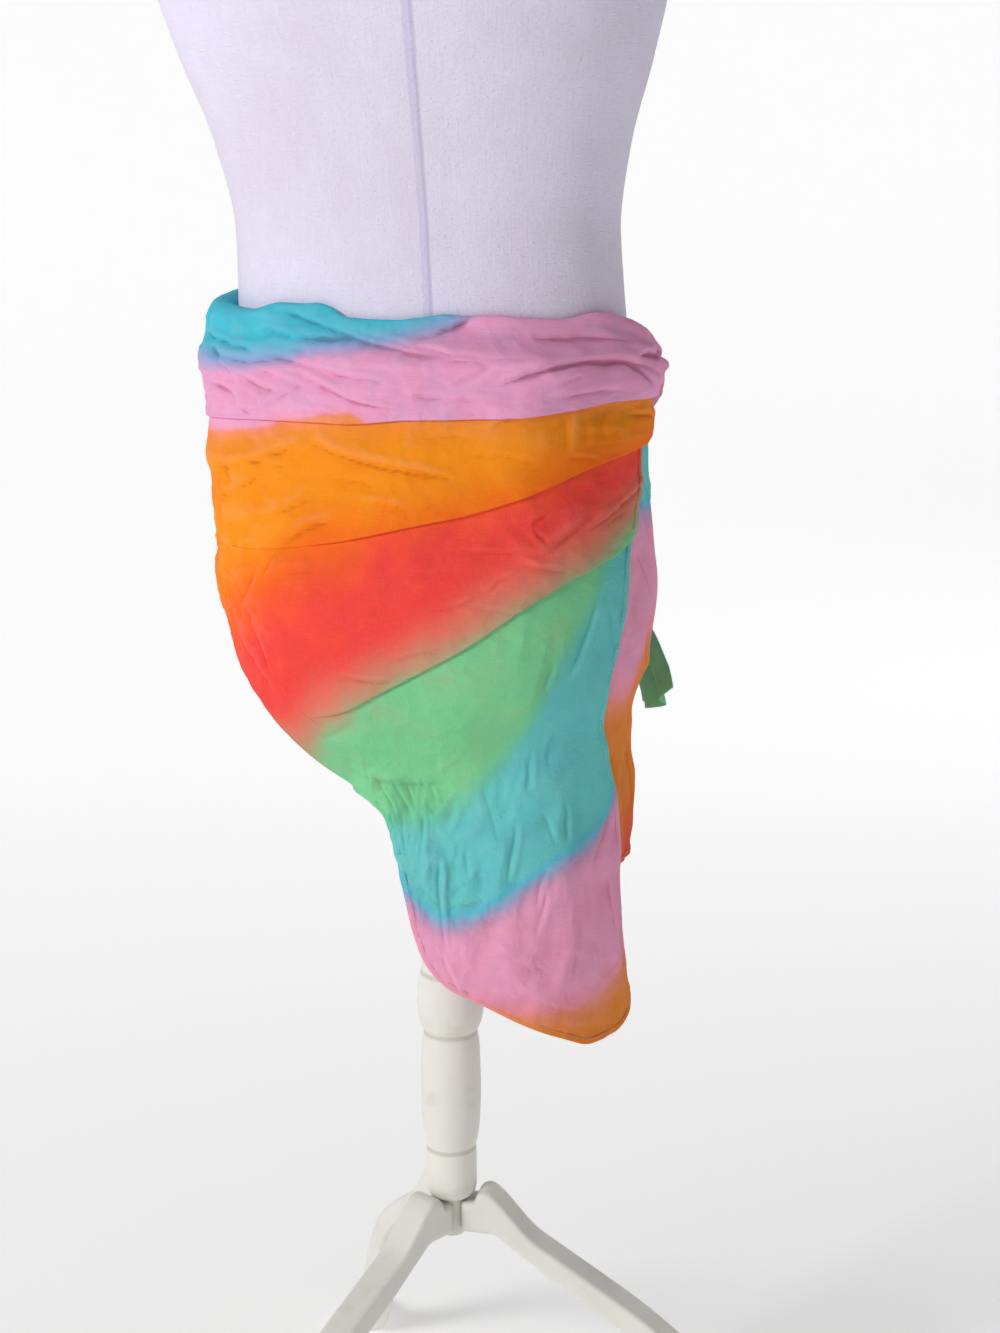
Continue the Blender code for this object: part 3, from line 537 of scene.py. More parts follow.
def lap_depth(angle):
    """How far a stretch's top goes in under a fold: less where they all draw in to the knot."""
    return LAP * (0.45 + 0.55 * smooth_step(np.abs(angle_apart(angle, KNOT_ANGLE)), 25.0, 55.0))


def lap(angle):
    """The same where a fold shows as an edge, and nothing where it has opened out at the left."""
    turn = angle_apart(angle, BACK_MIDDLE)
    return lap_depth(angle) * smooth_step(turn, *LAP_COMES) * (1 - smooth_step(turn, *LAP_GOES))


def raised(angle):
    """1 where a fold's foot lies over the next stretch, easing to 0 where they meet flush."""
    turn = angle_apart(angle, BACK_MIDDLE)
    return smooth_step(turn, *RAISED_COMES) * (1 - smooth_step(turn, *RAISED_GOES))


def over_next(angle, height, foot):
    """From 0 high on a stretch to 1 where its foot lies over the next one."""
    return 1 - smooth_step((height - foot) / lap_depth(angle), *RISES)


def inner_layers(angle):
    """1 where the front's margin lies in under the back pieces, on the right hip."""
    turn = angle_apart(angle, BACK_MIDDLE)
    return smooth_step(turn, *INNER_COMES) * (1 - smooth_step(turn, *INNER_GOES))


def tuck(angle, height, start):
    """How far in a stretch's top is pressed under the fold above it."""
    hidden = 1 - smooth_step(start - height, PRESSED[0] * LAP, PRESSED[1] * LAP)
    return np.minimum(TUCK, 0.5 * stand_off(angle, height)) * hidden


print("form's half width at the hips:", round(float(form_radius(90.0, np.array(0.77))), 4))

# %% [markdown]
# ## Creases
# A crease on worn cotton is a soft trough with a ridge beside it, and it fades at both ends. Each
# one that shows in the photograph is a row below: where it starts and ends, how far it bows, how
# wide and how deep. Rows for the sides that the photograph hides are drawn from a seeded generator
# with the same sizes, and ridged noise gives the small crumples between them.

# %% Creases listed one by one, similar ones on the hidden sides, and small crumples
# start angle and height, end angle and height, bow in mm, half width in mm, depth in mm
ROLL_CREASES = (
    (-49, 0.962, 21, 0.935, -4, 3.4, 2.6), (-22, 0.953, 42, 0.934, -2, 2.8, 1.9),
    (-50, 0.947, -38, 0.941, 0, 3.2, 2.2), (-38, 0.941, -16, 0.945, 0, 3.0, 2.0),
    (-76, 0.940, -47, 0.930, -1, 2.8, 2.0), (-70, 0.931, -41, 0.930, -6, 3.2, 2.2),
    (-47, 0.931, 0, 0.920, -4, 2.6, 1.7), (-38, 0.920, 5, 0.899, -2, 3.0, 2.2),
    (-53, 0.922, -34, 0.911, 0, 2.3, 1.6), (-56, 0.919, -35, 0.910, -8, 2.6, 1.7),
    (-45, 0.899, -36, 0.907, 0, 2.3, 1.4), (-49, 0.903, -46, 0.891, 0, 2.3, 1.4),
    (-72, 0.904, -57, 0.901, 2, 3.0, 2.0), (-57, 0.901, -51, 0.890, -2, 2.8, 1.8),
    (-32, 0.895, -18, 0.893, 2, 2.3, 1.2), (-64, 0.926, -58, 0.916, 0, 2.3, 1.4),
    (20, 0.934, 34, 0.933, 0, 2.6, 1.4), (34, 0.933, 21, 0.920, 2, 2.6, 1.4),
    (33, 0.918, 87, 0.915, 13, 3.6, 3.0), (76, 0.929, 91, 0.926, 0, 3.6, 3.4),
    (72, 0.925, 84, 0.912, 0, 2.8, 1.8), (50, 0.920, 57, 0.923, 0, 2.3, 1.2),
    (4, 0.942, 33, 0.961, -2, 3.0, 2.2), (44, 0.945, 80, 0.938, 3, 3.0, 1.8),
    (6, 0.912, 38, 0.911, -3, 2.6, 1.1), (48, 0.909, 70, 0.912, 2, 2.6, 1.2),
    (88, 0.932, 118, 0.905, 2, 3.2, 2.4), (92, 0.915, 120, 0.897, 3, 3.2, 2.2),
)
HIP_CREASES = (
    (11, 0.882, 28, 0.882, 2, 2.5, 1.1), (10, 0.860, 21, 0.856, 0, 2.5, 1.0),
    (32, 0.888, 43, 0.890, 7, 2.5, 1.0), (54, 0.900, 52, 0.873, 0, 4.0, 0.6),
    (59, 0.894, 58, 0.877, 0, 4.0, 0.5), (67, 0.901, 63, 0.882, 0, 4.5, 0.7),
    (53, 0.870, 63, 0.865, 0, 2.3, 0.9), (-31, 0.875, 20, 0.856, -3, 3.6, 1.9),
    (-8, 0.868, 16, 0.859, 0, 2.5, 1.0), (-69, 0.848, -33, 0.874, -4, 3.0, 1.5),
    (-50, 0.859, -36, 0.856, 0, 2.5, 1.2), (-60, 0.846, -50, 0.843, -3, 2.3, 1.2),
    (-65, 0.829, -46, 0.852, -4, 2.6, 1.4), (-65, 0.827, -58, 0.809, 0, 2.6, 1.4),
    (-10, 0.837, 7, 0.834, 2, 2.4, 1.2), (-36, 0.804, -18, 0.823, 5, 4.0, 1.6),
    (-43, 0.821, -26, 0.839, 0, 4.4, 1.2), (-20, 0.852, -4, 0.848, 1, 3.0, 0.7),
    (26, 0.872, 46, 0.866, 2, 3.0, 0.8), (74, 0.892, 96, 0.880, 2, 2.8, 1.4),
)
SEAT_CREASES = (
    (-45, 0.788, -53, 0.756, 2, 2.6, 1.4), (-39, 0.799, -43, 0.782, 1, 2.5, 1.2),
    (-50, 0.757, -42, 0.714, 2, 3.5, 1.7), (-61, 0.752, -43, 0.708, -3, 3.0, 1.4),
    (-36, 0.784, -24, 0.790, 1, 4.0, 0.9), (-27, 0.772, -20, 0.780, 0, 2.2, 0.7),
    (-6, 0.734, 2, 0.744, 0, 2.2, 0.9), (-18, 0.721, 1, 0.719, -2, 2.6, 1.3),
    (-1, 0.732, 17, 0.743, 1, 2.5, 1.0), (42, 0.826, 47, 0.832, 0, 2.2, 0.9),
    (20, 0.808, 42, 0.807, 0, 2.3, 1.0), (46, 0.813, 42, 0.823, 0, 2.3, 0.9),
    (38, 0.800, 51, 0.793, -1, 2.6, 1.3), (28, 0.781, 38, 0.795, 1, 2.3, 0.9),
    (12, 0.769, 28, 0.781, -2, 2.3, 0.9), (24, 0.772, 37, 0.767, 0, 2.3, 0.8),
    (44, 0.804, 61, 0.830, 0, 4.0, 1.0), (57, 0.818, 80, 0.842, 0, 2.6, 1.4),
    (62, 0.819, 71, 0.829, 0, 2.2, 1.0), (-36, 0.697, -27, 0.678, 1, 2.6, 1.1),
    (-58, 0.735, -40, 0.697, 2, 2.6, 1.0), (-70, 0.772, -58, 0.748, 2, 3.0, 1.3),
    (-24, 0.748, -2, 0.756, 2, 3.2, 0.5), (6, 0.790, 22, 0.793, 1, 3.2, 0.4),
)
FALL_CREASES = (
    (55, 0.753, 48, 0.721, 2, 3.6, 1.8), (59, 0.775, 54, 0.745, 0, 3.0, 1.3),
    (62, 0.768, 64, 0.737, 0, 3.5, 1.5), (71, 0.754, 64, 0.731, 0, 3.0, 1.4),
    (45, 0.734, 42, 0.715, 0, 3.0, 1.1), (-20, 0.639, 13, 0.642, -2, 4.2, 2.2),
    (8, 0.641, 23, 0.672, 0, 2.6, 0.7), (13, 0.660, 19, 0.671, 0, 2.3, 0.9),
    (-14, 0.639, -7, 0.616, 1, 2.6, 1.7), (-7, 0.639, -1, 0.616, 0, 3.0, 2.0),
    (-2, 0.639, 1, 0.620, 1, 2.6, 1.6), (4, 0.621, 3, 0.581, 1, 3.0, 2.0),
    (8, 0.639, 9, 0.628, 0, 2.5, 1.3), (17, 0.645, 7, 0.617, 1, 2.6, 1.4),
    (40, 0.669, 39, 0.637, 0, 3.0, 1.5), (38, 0.659, 35, 0.637, 0, 2.5, 1.2),
    (35, 0.629, 29, 0.613, 0, 2.5, 1.2), (35, 0.614, 32, 0.572, 1, 3.0, 2.1),
    (50, 0.626, 50, 0.597, 0, 3.0, 1.5), (43, 0.619, 47, 0.598, 0, 2.6, 1.1),
    (61, 0.643, 60, 0.630, 0, 3.0, 1.3), (49, 0.652, 58, 0.662, 0, 2.0, 1.0),
    (45, 0.655, 48, 0.690, 2, 3.0, 1.1), (19, 0.591, 20, 0.574, 0, 2.6, 1.1),
    (10, 0.587, 10, 0.550, -1, 3.0, 2.0), (-3, 0.564, 10, 0.550, 3, 2.6, 1.4),
    (14, 0.558, 26, 0.574, 3, 2.6, 1.3), (13, 0.549, 28, 0.557, 0, 2.6, 1.3),
    (44, 0.580, 41, 0.550, -1, 2.8, 1.6), (44, 0.574, 54, 0.580, 1, 2.6, 1.2),
    (60, 0.576, 68, 0.614, -1, 3.6, 1.7), (11, 0.570, 12, 0.517, -2, 3.0, 1.6),
    (44, 0.564, 40, 0.530, 2, 2.8, 1.6), (28, 0.523, 49, 0.498, -3, 2.8, 1.5),
    (38, 0.503, 44, 0.503, 1, 2.5, 1.7), (10, 0.513, 16, 0.489, 0, 3.0, 1.5),
    (40, 0.480, 60, 0.464, -2, 3.0, 1.4), (57, 0.470, 75, 0.470, -2, 3.0, 1.5),
    (48, 0.459, 69, 0.448, -2, 3.0, 1.1), (46, 0.516, 56, 0.510, 0, 2.6, 1.1),
    (-9, 0.595, -4, 0.570, -2, 2.6, 1.4), (-5, 0.615, -3, 0.589, 1, 2.6, 1.3),
    (24, 0.700, 34, 0.715, 0, 4.0, 0.5), (-30, 0.668, -14, 0.690, -2, 4.0, 0.6),
    (26, 0.640, 30, 0.595, 0, 4.0, 0.7), (66, 0.560, 70, 0.515, 0, 3.2, 1.2),
    (20, 0.535, 36, 0.545, 2, 3.0, 0.8), (56, 0.540, 52, 0.492, 1, 3.2, 1.0),
)
FRONT_CREASES = (
    (78, 0.845, 92, 0.790, 2, 3.6, 1.6), (76, 0.800, 90, 0.752, -1, 3.2, 1.2),
    (88, 0.840, 112, 0.800, 3, 3.6, 1.8), (84, 0.730, 98, 0.690, 2, 3.2, 1.3),
    (78, 0.690, 88, 0.640, 1, 3.2, 1.3), (90, 0.650, 97, 0.590, 1, 3.2, 1.4),
    (118, 0.868, 170, 0.800, -8, 5.0, 2.4), (124, 0.862, 196, 0.760, -10, 5.0, 2.4),
    (126, 0.856, 176, 0.700, -10, 5.0, 2.2), (122, 0.850, 150, 0.690, -6, 4.6, 2.2),
    (120, 0.845, 134, 0.660, -2, 4.6, 2.0), (116, 0.850, 112, 0.680, 2, 4.2, 1.8),
    (132, 0.866, 214, 0.812, -8, 4.6, 1.8),
)
HIDDEN_SEED = 11
HIDDEN_ROLL, HIDDEN_HIP, HIDDEN_FRONT = 26, 12, 26


def hidden_creases():
    """Rows like those above for the form's front and left: seeded places, lengths, bows and depths."""
    draw = np.random.default_rng(HIDDEN_SEED)
    rows = []
    # how many, first and last angle, lowest and highest height, steepness, depth in mm
    bands = (
        (HIDDEN_ROLL, 132, 262, 0.892, 0.950, 0.45, 2.2),
        (HIDDEN_HIP, 150, 262, 0.830, 0.872, 0.5, 1.3),
        (HIDDEN_FRONT, 128, 262, 0.640, 0.790, 2.0, 1.3),
    )
    for count, low, high, bottom, top, steep, depth in bands:
        for _ in range(count):
            angle = draw.uniform(low, high)
            height = draw.uniform(bottom, top)
            reach = draw.uniform(8, 34) / (1 + steep)
            drop = -reach * steep * draw.uniform(0.2, 1.0) * MM_PER_DEGREE / 1000
            bow = draw.uniform(-5, 5)
            rows.append((angle, height, angle + reach, height + drop, bow,
                         draw.uniform(2.4, 4.0), depth * draw.uniform(0.5, 1.2)))
    return tuple(rows)


CREASES = (*ROLL_CREASES, *HIP_CREASES, *SEAT_CREASES, *FALL_CREASES, *FRONT_CREASES, *hidden_creases())


def crease(angle, height, row, wander):
    """Along a bowed line: 0.62 x bell(ridge, 1.3 widths aside) - peak(trough), faded at both ends.

    The trough is sharp, exp(-|aside / width|^1.25), and its line wanders by a millimetre.
    """
    angle_a, height_a, angle_b, height_b, bow, half, depth = row
    run_x = (angle_b - angle_a) * MM_PER_DEGREE
    run_y = (height_b - height_a) * 1000
    length = math.hypot(run_x, run_y)
    x = angle_apart(angle, (angle_a + angle_b) / 2) * MM_PER_DEGREE
    y = (height - (height_a + height_b) / 2) * 1000
    along = (x * run_x + y * run_y) / length ** 2 + 0.5
    aside = (y * run_x - x * run_y) / length - bow * (1 - (2 * along - 1) ** 2)
    fade = smooth_step(along, -0.10, 0.28) * (1 - smooth_step(along, 0.72, 1.10))
    trough = np.exp(-(np.abs(aside + wander) / (0.52 * half)) ** 1.25)
    ridge = np.exp(-((aside - 1.3 * half) / (0.95 * half)) ** 2)
    return depth * fade * (0.62 * ridge - trough)


LATTICE_ROWS = 256


def lattice_noise(angle, height, wide, tall, slant, seed):
    """Values from -1 to 1 at the corners of a slanted lattice round the form, eased between them."""
    cells = max(4, round(360 * MM_PER_DEGREE / wide))
    values = np.random.default_rng(seed).uniform(-1.0, 1.0, (cells, LATTICE_ROWS))
    up = height * 1000 / tall
    x = (angle + slant * height * 1000) / 360.0 * cells
    column, row = np.floor(x).astype(int), np.floor(up).astype(int)
    s, t = x - column, up - row
    s, t = s * s * (3 - 2 * s), t * t * (3 - 2 * t)
    here, after = column % cells, (column + 1) % cells
    under, over = row % LATTICE_ROWS, (row + 1) % LATTICE_ROWS
    low = values[here, under] * (1 - s) + values[after, under] * s
    top = values[here, over] * (1 - s) + values[after, over] * s
    return low * (1 - t) + top * t


def ridges(angle, height, wide, tall, slant, seed):
    """Sharp little folds: 1 - 2|noise|, bent by a second, wider noise."""
    bend = 2.2 * lattice_noise(angle, height, wide * 1.7, tall * 1.7, 0.0, seed + 50)
    value = lattice_noise(angle + bend, height + bend * 0.0012, wide, tall, slant, seed)
    return 1 - 2 * np.abs(value)


# lowest and highest height, first and last angle, cell width and height in mm, slant, how high in mm
CRUMPLES = (
    (0.876, 0.990, -180, 180, 34, 9, 0.0, 0.70), (0.872, 0.990, -130, -22, 17, 8, 0.05, 0.75),
    (0.790, 0.895, -180, 180, 30, 12, 0.1, 0.28), (0.735, 0.900, -125, -40, 15, 10, 0.12, 0.85),
    (0.660, 0.760, -125, -34, 14, 16, -0.15, 0.55), (0.690, 0.850, -40, 60, 34, 20, 0.1, 0.14),
    (0.780, 0.860, 30, 84, 20, 11, 0.25, 0.35), (0.560, 0.650, -24, 30, 11, 22, -0.1, 0.80),
    (0.440, 0.660, 6, 84, 19, 28, -0.12, 0.60), (0.640, 0.770, 34, 84, 18, 34, -0.1, 0.45),
    (0.560, 0.870, 66, 200, 24, 40, 0.12, 0.55), (0.600, 0.800, 190, 262, 24, 40, 0.12, 0.45),
    (0.440, 0.600, -10, 84, 9, 11, 0.0, 0.22), (0.885, 0.965, -125, 100, 13, 6, 0.02, 0.30),
    (0.700, 0.890, -125, -48, 9, 7, 0.10, 0.40), (0.500, 0.640, -22, 18, 8, 10, -0.05, 0.50),
)
CRUMPLE_EASE_DEGREES, CRUMPLE_EASE_HEIGHT = 12.0, 0.020
BILLOW_MM, WANDER_MM = 1.1, 0.9


def crumples(angle, height):
    """Ridged noise in each region, eased in and out at its borders, in mm."""
    total = np.zeros(np.broadcast(angle, height).shape)
    for seed, (low, high, first, last, wide, tall, slant, mm) in enumerate(CRUMPLES):
        half = (last - first) / 2
        off = np.abs(angle_apart(angle, (first + last) / 2)) if half < 180 else 0.0
        inside = 1 - smooth_step(off, half - CRUMPLE_EASE_DEGREES, half + CRUMPLE_EASE_DEGREES)
        inside = inside * smooth_step(height, low - CRUMPLE_EASE_HEIGHT, low + CRUMPLE_EASE_HEIGHT)
        inside = inside * (1 - smooth_step(height, high - CRUMPLE_EASE_HEIGHT, high + CRUMPLE_EASE_HEIGHT))
        total += mm * inside * ridges(angle, height, wide, tall, slant, seed)
    return total


CREASE_GAIN, FALL_GAIN, CRUMPLE_GAIN = 1.55, 0.95, 1.40
DEEPEST_MM, HIGHEST_MM = 1.7, 4.6


def relief(angle, height):
    """All creases, crumples and, where the cloth hangs free, slow billows, in metres outwards.

    A trough eases to a limit, 1.7 mm and half of how far the cloth stands off, so that the form
    under it never shows through: deep = limit x tanh(depth / limit).
    """
    total = CRUMPLE_GAIN * crumples(angle, height)
    wander = WANDER_MM * lattice_noise(angle, height, 9, 9, 0.0, 200)
    for row in CREASES:
        gain = FALL_GAIN if row in FALL_CREASES else CREASE_GAIN
        total += gain * crease(angle, height, row, wander)
    free = 1 - smooth_step(height, 0.60, 0.70)
    total += BILLOW_MM * free * lattice_noise(angle, height, 46, 60, -0.1, 91)
    limit = np.where(total < 0, DEEPEST_MM + 500 * stand_off(angle, height), HIGHEST_MM)
    return limit * np.tanh(total / limit) / 1000


print("creases:", len(CREASES), "of them by hand:", len(CREASES) - HIDDEN_ROLL - HIDDEN_HIP - HIDDEN_FRONT)

# %% [markdown]
# ## The dye along the cloth
# The bands run across the flat cloth, but on the hips they dip and rise, because the cloth is
# gathered at the right. A table gives the height where each colour turns into the next, at a few
# angles. Inside a fold some cloth is out of sight, so heights are first unfolded: each fold above a
# point takes twice its depth off the height.

# %% Where each dye turns into the next
# for each turn of colour: metres it takes above and below, and rows of angle, height, folds above.
# The roll lies half a fold above the hips, so its count is -0.5.
DYE_TURNS = (
    (0.012, 0.012, (
        (-100, 0.924, -0.5), (-68, 0.924, -0.5), (-47, 0.929, -0.5), (-28, 0.939, -0.5),
        (-3, 0.946, -0.5), (19, 0.956, -0.5), (32, 0.968, -0.5), (46, 0.985, -0.5),
        (90, 0.990, -0.5), (170, 0.985, -0.5), (205, 0.950, -0.5), (235, 0.930, -0.5))),
    (0.010, 0.030, (
        (-100, 0.870, 0), (-70, 0.872, 0), (-61, 0.874, 0), (-50, 0.879, 0), (-37, 0.887, 0),
        (-14, 0.896, 0), (17, 0.902, 0), (34, 0.905, 0), (60, 0.909, 0), (84, 0.909, 0),
        (110, 0.902, 0), (170, 0.893, 0), (220, 0.872, 0))),
    (0.050, 0.050, (
        (-100, 0.722, 1), (-75, 0.735, 1), (-62, 0.745, 1), (-53, 0.758, 1), (-44, 0.772, 1),
        (-33, 0.790, 1), (-22, 0.803, 1), (-13, 0.806, 0), (6, 0.812, 0), (24, 0.822, 0),
        (38, 0.833, 0), (60, 0.851, 0), (84, 0.858, 0), (128, 0.855, 0), (180, 0.81, 0),
        (220, 0.755, 0))),
    (0.040, 0.032, (
        (-100, 0.646, 1), (-60, 0.652, 1), (-45, 0.660, 1), (-30, 0.682, 1), (-24, 0.694, 1),
        (-18, 0.704, 1), (-13, 0.712, 1), (-4, 0.724, 1), (6, 0.737, 1), (15, 0.749, 1),
        (31, 0.773, 1), (48, 0.796, 1), (57, 0.808, 1), (64, 0.818, 1), (71, 0.826, 1),
        (84, 0.844, 1), (180, 0.70, 1), (220, 0.66, 1))),
    (0.018, 0.018, (
        (-100, 0.560, 2), (-40, 0.580, 2), (-13, 0.604, 2), (-1, 0.611, 2), (10, 0.616, 2),
        (21, 0.633, 2), (31, 0.658, 2), (38, 0.688, 2), (47, 0.732, 2), (56, 0.764, 2),
        (63, 0.796, 2), (69, 0.816, 2), (84, 0.845, 2), (180, 0.62, 2))),
    (0.016, 0.018, (
        (-100, 0.520, 2), (-5, 0.553, 2), (10, 0.537, 2), (21, 0.540, 2), (30, 0.552, 2),
        (39, 0.567, 2), (48, 0.581, 2), (59, 0.592, 2), (67, 0.612, 2), (74, 0.640, 2),
        (84, 0.670, 2), (180, 0.56, 2))),
    (0.022, 0.026, (
        (-100, 0.440, 2), (0, 0.455, 2), (20, 0.471, 2), (39, 0.471, 2), (49, 0.470, 2),
        (59, 0.474, 2), (68, 0.482, 2), (76, 0.495, 2), (84, 0.505, 2), (180, 0.45, 2))),
)
# the same on the cloth's other end, which goes round the front: angle, then the height of each turn
FRONT_TURNS = (
    (48, 1.10, 1.02, 0.930, 0.850, 0.715, 0.592), (75, 1.08, 1.00, 0.905, 0.826, 0.692, 0.590),
    (88, 1.06, 0.99, 0.890, 0.820, 0.733, 0.592), (98, 1.04, 0.98, 0.880, 0.815, 0.722, 0.590),
    (130, 1.00, 0.93, 0.840, 0.745, 0.650, 0.545), (180, 0.93, 0.82, 0.720, 0.620, 0.540, 0.460),
    (230, 0.80, 0.70, 0.610, 0.540, 0.460, 0.380), (260, 0.722, 0.640, 0.560, 0.500, 0.420, 0.350),
)
FRONT_SPREADS = ((0.050, 0.050), (0.030, 0.030), (0.018, 0.018), (0.016, 0.020), (0.030, 0.030),
                 (0.030, 0.030))
FRONT_FIRST_DYE = 2.0


def turned_dye(height, level, above, below):
    """0 well above a level, 1 well below it and one half on it, with an easy S each side."""
    down = level - height
    share = 0.5 + 0.5 * np.where(down > 0, down / below, down / above)
    return smooth_step(share, 0.0, 1.0)


def back_dye(angle, height, folds_above):
    """The dye number on the roll, hips, seat and fall: -1 plus each turn passed on the way down."""
    unfolded = height - 2 * folds_above * lap(angle)
    dye = np.full(np.broadcast(angle, height).shape, DYE_FIRST + 1.0)
    for above, below, rows in DYE_TURNS:
        level, count = smooth_lookup(rows, angle_home(angle), turn=360.0)
        dye = dye + turned_dye(unfolded, level - 2 * count * lap(angle), above, below)
    return dye


def angle_home(angle):
    """The angle brought between -110 and 250 degrees, where the tables have their rows."""
    return (np.asarray(angle, dtype=float) + 110.0) % 360.0 - 110.0


def front_dye(angle, height):
    """The same on the front, where the bands rise steeply from the left hip to the right."""
    dye = np.full(np.broadcast(angle, height).shape, FRONT_FIRST_DYE)
    for level, (above, below) in zip(smooth_lookup(FRONT_TURNS, angle), FRONT_SPREADS):
        dye = dye + turned_dye(height, level, above, below)
    return dye


print("dye over the seat, from the roll down:",
      [round(float(back_dye(10.0, np.array(level), count)), 1)
       for level, count in ((0.95, 0), (0.92, 0), (0.86, 0), (0.79, 1), (0.70, 2), (0.58, 2), (0.50, 2))])

# %% [markdown]
# ## Meshes from grids
# Every piece is a grid of points, a row for each step down and a column for each step round. The
# faces join neighbouring points, wound so that they look outwards. The cloth is an open grid that
# the Solidify modifier gives its half a millimetre.

# %% Grids into meshes
COTTON_THICK = 0.0005
CLOTH_FRONT = 0.0003


def grid_faces(rows, columns, goes_round):
    """Corner numbers of the quads over a grid, and each corner's column counted on past a seam."""
    index = np.arange(rows * columns).reshape(rows, columns)
    if goes_round:
        index = np.concatenate([index, index[:, :1]], axis=1)
    counted = np.broadcast_to(np.arange(index.shape[1]), index.shape)
    down = np.broadcast_to(np.arange(rows)[:, None], index.shape)

    def corners(values):
        return np.stack([values[:-1, :-1], values[1:, :-1], values[1:, 1:], values[:-1, 1:]], axis=-1)

    return corners(index).reshape(-1, 4), corners(counted).reshape(-1), corners(down).reshape(-1)


def add_numbers(mesh, name, values):
    """A number at each vertex, for a material to read."""
    layer = mesh.attributes.new(name, "FLOAT", "POINT")
    layer.data.foreach_set("value", np.ravel(values).astype(np.float32))


def grid_piece(name, points, material, goes_round=False, dye=None, flat=None, closed=False, hollow=None):
    """An object over a grid of points, with a dye, relief and UV map in metres if given."""
    rows, columns = points.shape[:2]
    faces, counted, down = grid_faces(rows, columns, goes_round)
    vertices = points.reshape(-1, 3)
    extra = []
    if closed:
        top, bottom = points[0].mean(axis=0), points[-1].mean(axis=0)
        vertices = np.concatenate([vertices, [top, bottom]])
        ring = np.arange(columns)
        after = np.roll(ring, -1)
        last = (rows - 1) * columns
        extra = [(rows * columns, int(a), int(b)) for a, b in zip(ring, after)]
        extra += [(rows * columns + 1, last + int(b), last + int(a)) for a, b in zip(ring, after)]
    mesh = bpy.data.meshes.new(name)
    mesh.from_pydata(vertices.tolist(), [], faces.tolist() + extra)
    mesh.polygons.foreach_set("use_smooth", np.ones(len(mesh.polygons), dtype=bool))
    if dye is not None:
        add_numbers(mesh, "dye", dye)
    # the relief in mm, which the cotton reads for its painted crease shade and highlight
    if hollow is not None:
        add_numbers(mesh, "relief_mm", 1000 * hollow)
    if flat is not None:
        pair = np.zeros((len(mesh.loops), 2), dtype=np.float32)
        pair[:len(counted), 0] = flat[0][down, counted]
        pair[:len(counted), 1] = flat[1][down, counted]
        mesh.uv_layers.new(name="cloth").data.foreach_set("uv", pair.ravel())
    mesh.update()
    if closed and holds(vertices, faces) < 0:
        mesh.flip_normals()
    piece = bpy.data.objects.new(name, mesh)
    piece.data.materials.append(material)
    bpy.context.scene.collection.objects.link(piece)
    return piece


def holds(vertices, faces):
    """The volume inside, below nought if inside out: each quad's centre times its area vector / 3."""
    a, b, c, d = (vertices[faces[:, corner]] - vertices.mean(axis=0) for corner in range(4))
    area = np.cross(c - a, d - b) / 2
    return float(((a + b + c + d) / 4 * area).sum() / 3)


def thicken(piece, thick=COTTON_THICK):
    """A Solidify modifier, half to each side."""
    solid = piece.modifiers.new("cotton", "SOLIDIFY")
    solid.thickness = thick
    solid.offset = 0.0
    return piece


def cloth_point(angle, height, out):
    """A point of the cloth, out along its slope by that much and by the relief."""
    small = 0.0015
    radius = cloth_radius(angle, height)
    rise = (cloth_radius(angle, height + small) - cloth_radius(angle, height - small)) / (2 * small)
    lean = np.sqrt(1 + rise ** 2)
    out = out + CLOTH_FRONT + relief(angle, height)
    return place(angle, height - out * rise / lean, radius + out / lean)


def flat_map(angle, height, goes_round=False):
    """UV in metres: along the hips and up. A ring gets one more column, past its seam."""
    along = np.broadcast_to(angle, height.shape) * MM_PER_DEGREE / 1000
    if goes_round:
        step = along[:, 1:2] - along[:, :1]
        along = np.concatenate([along, along[:, -1:] + step], axis=1)
        height = np.concatenate([height, height[:, :1]], axis=1)
    return along, height


def area_of(piece):
    """The area of a piece's faces before it is thickened, in square metres."""
    areas = np.zeros(len(piece.data.polygons))
    piece.data.polygons.foreach_get("area", areas)
    return float(areas.sum())


print("cotton", COTTON_THICK * 1000, "mm thick")

# %% [markdown]
# ## The stretches below the roll
# Going down, the cloth lies over the hips, turns up inside itself, comes down over the seat, turns
# up again and falls to the hem. Each stretch is its own grid, so that each stays fine enough for
# its creases. Its foot is turned under, so the fold's edge is round and shows no raw edge.

# %% Rows that run down a stretch and turn under at its foot
UNDER_ROWS = 8
UNDER_SHARE = 0.7
UNDER_DROP = 0.0010
UNDER_ROUND = 0.0007
UNDER_BEND = 0.45


def under_rows(angle, foot, level):
    """Heights, layer numbers of a turned foot: down and round, then up inside by part of the lap."""
    share = np.linspace(0.0, 1.0, UNDER_ROWS + 1)[1:, None]
    round_off = UNDER_ROUND * np.sin(np.pi * np.clip(share / UNDER_BEND, 0.0, 1.0))
    height = foot + lap(angle) * UNDER_SHARE * smooth_step(share, 0.05, 1.0) ** 1.3
    height = height - (round_off + 0.0002) * raised(angle) - UNDER_DROP * 0.2 * share
    return height, level - 0.5 * raised(angle) * smooth_step(share, 0.0, UNDER_BEND)


def rows_down(start, foot, count):
    """Heights from a stretch's start to its foot, evenly spaced."""
    return start + (foot - start) * np.linspace(0.0, 1.0, count)[:, None]


HIP_COLUMNS, HIP_ROWS = 480, 38


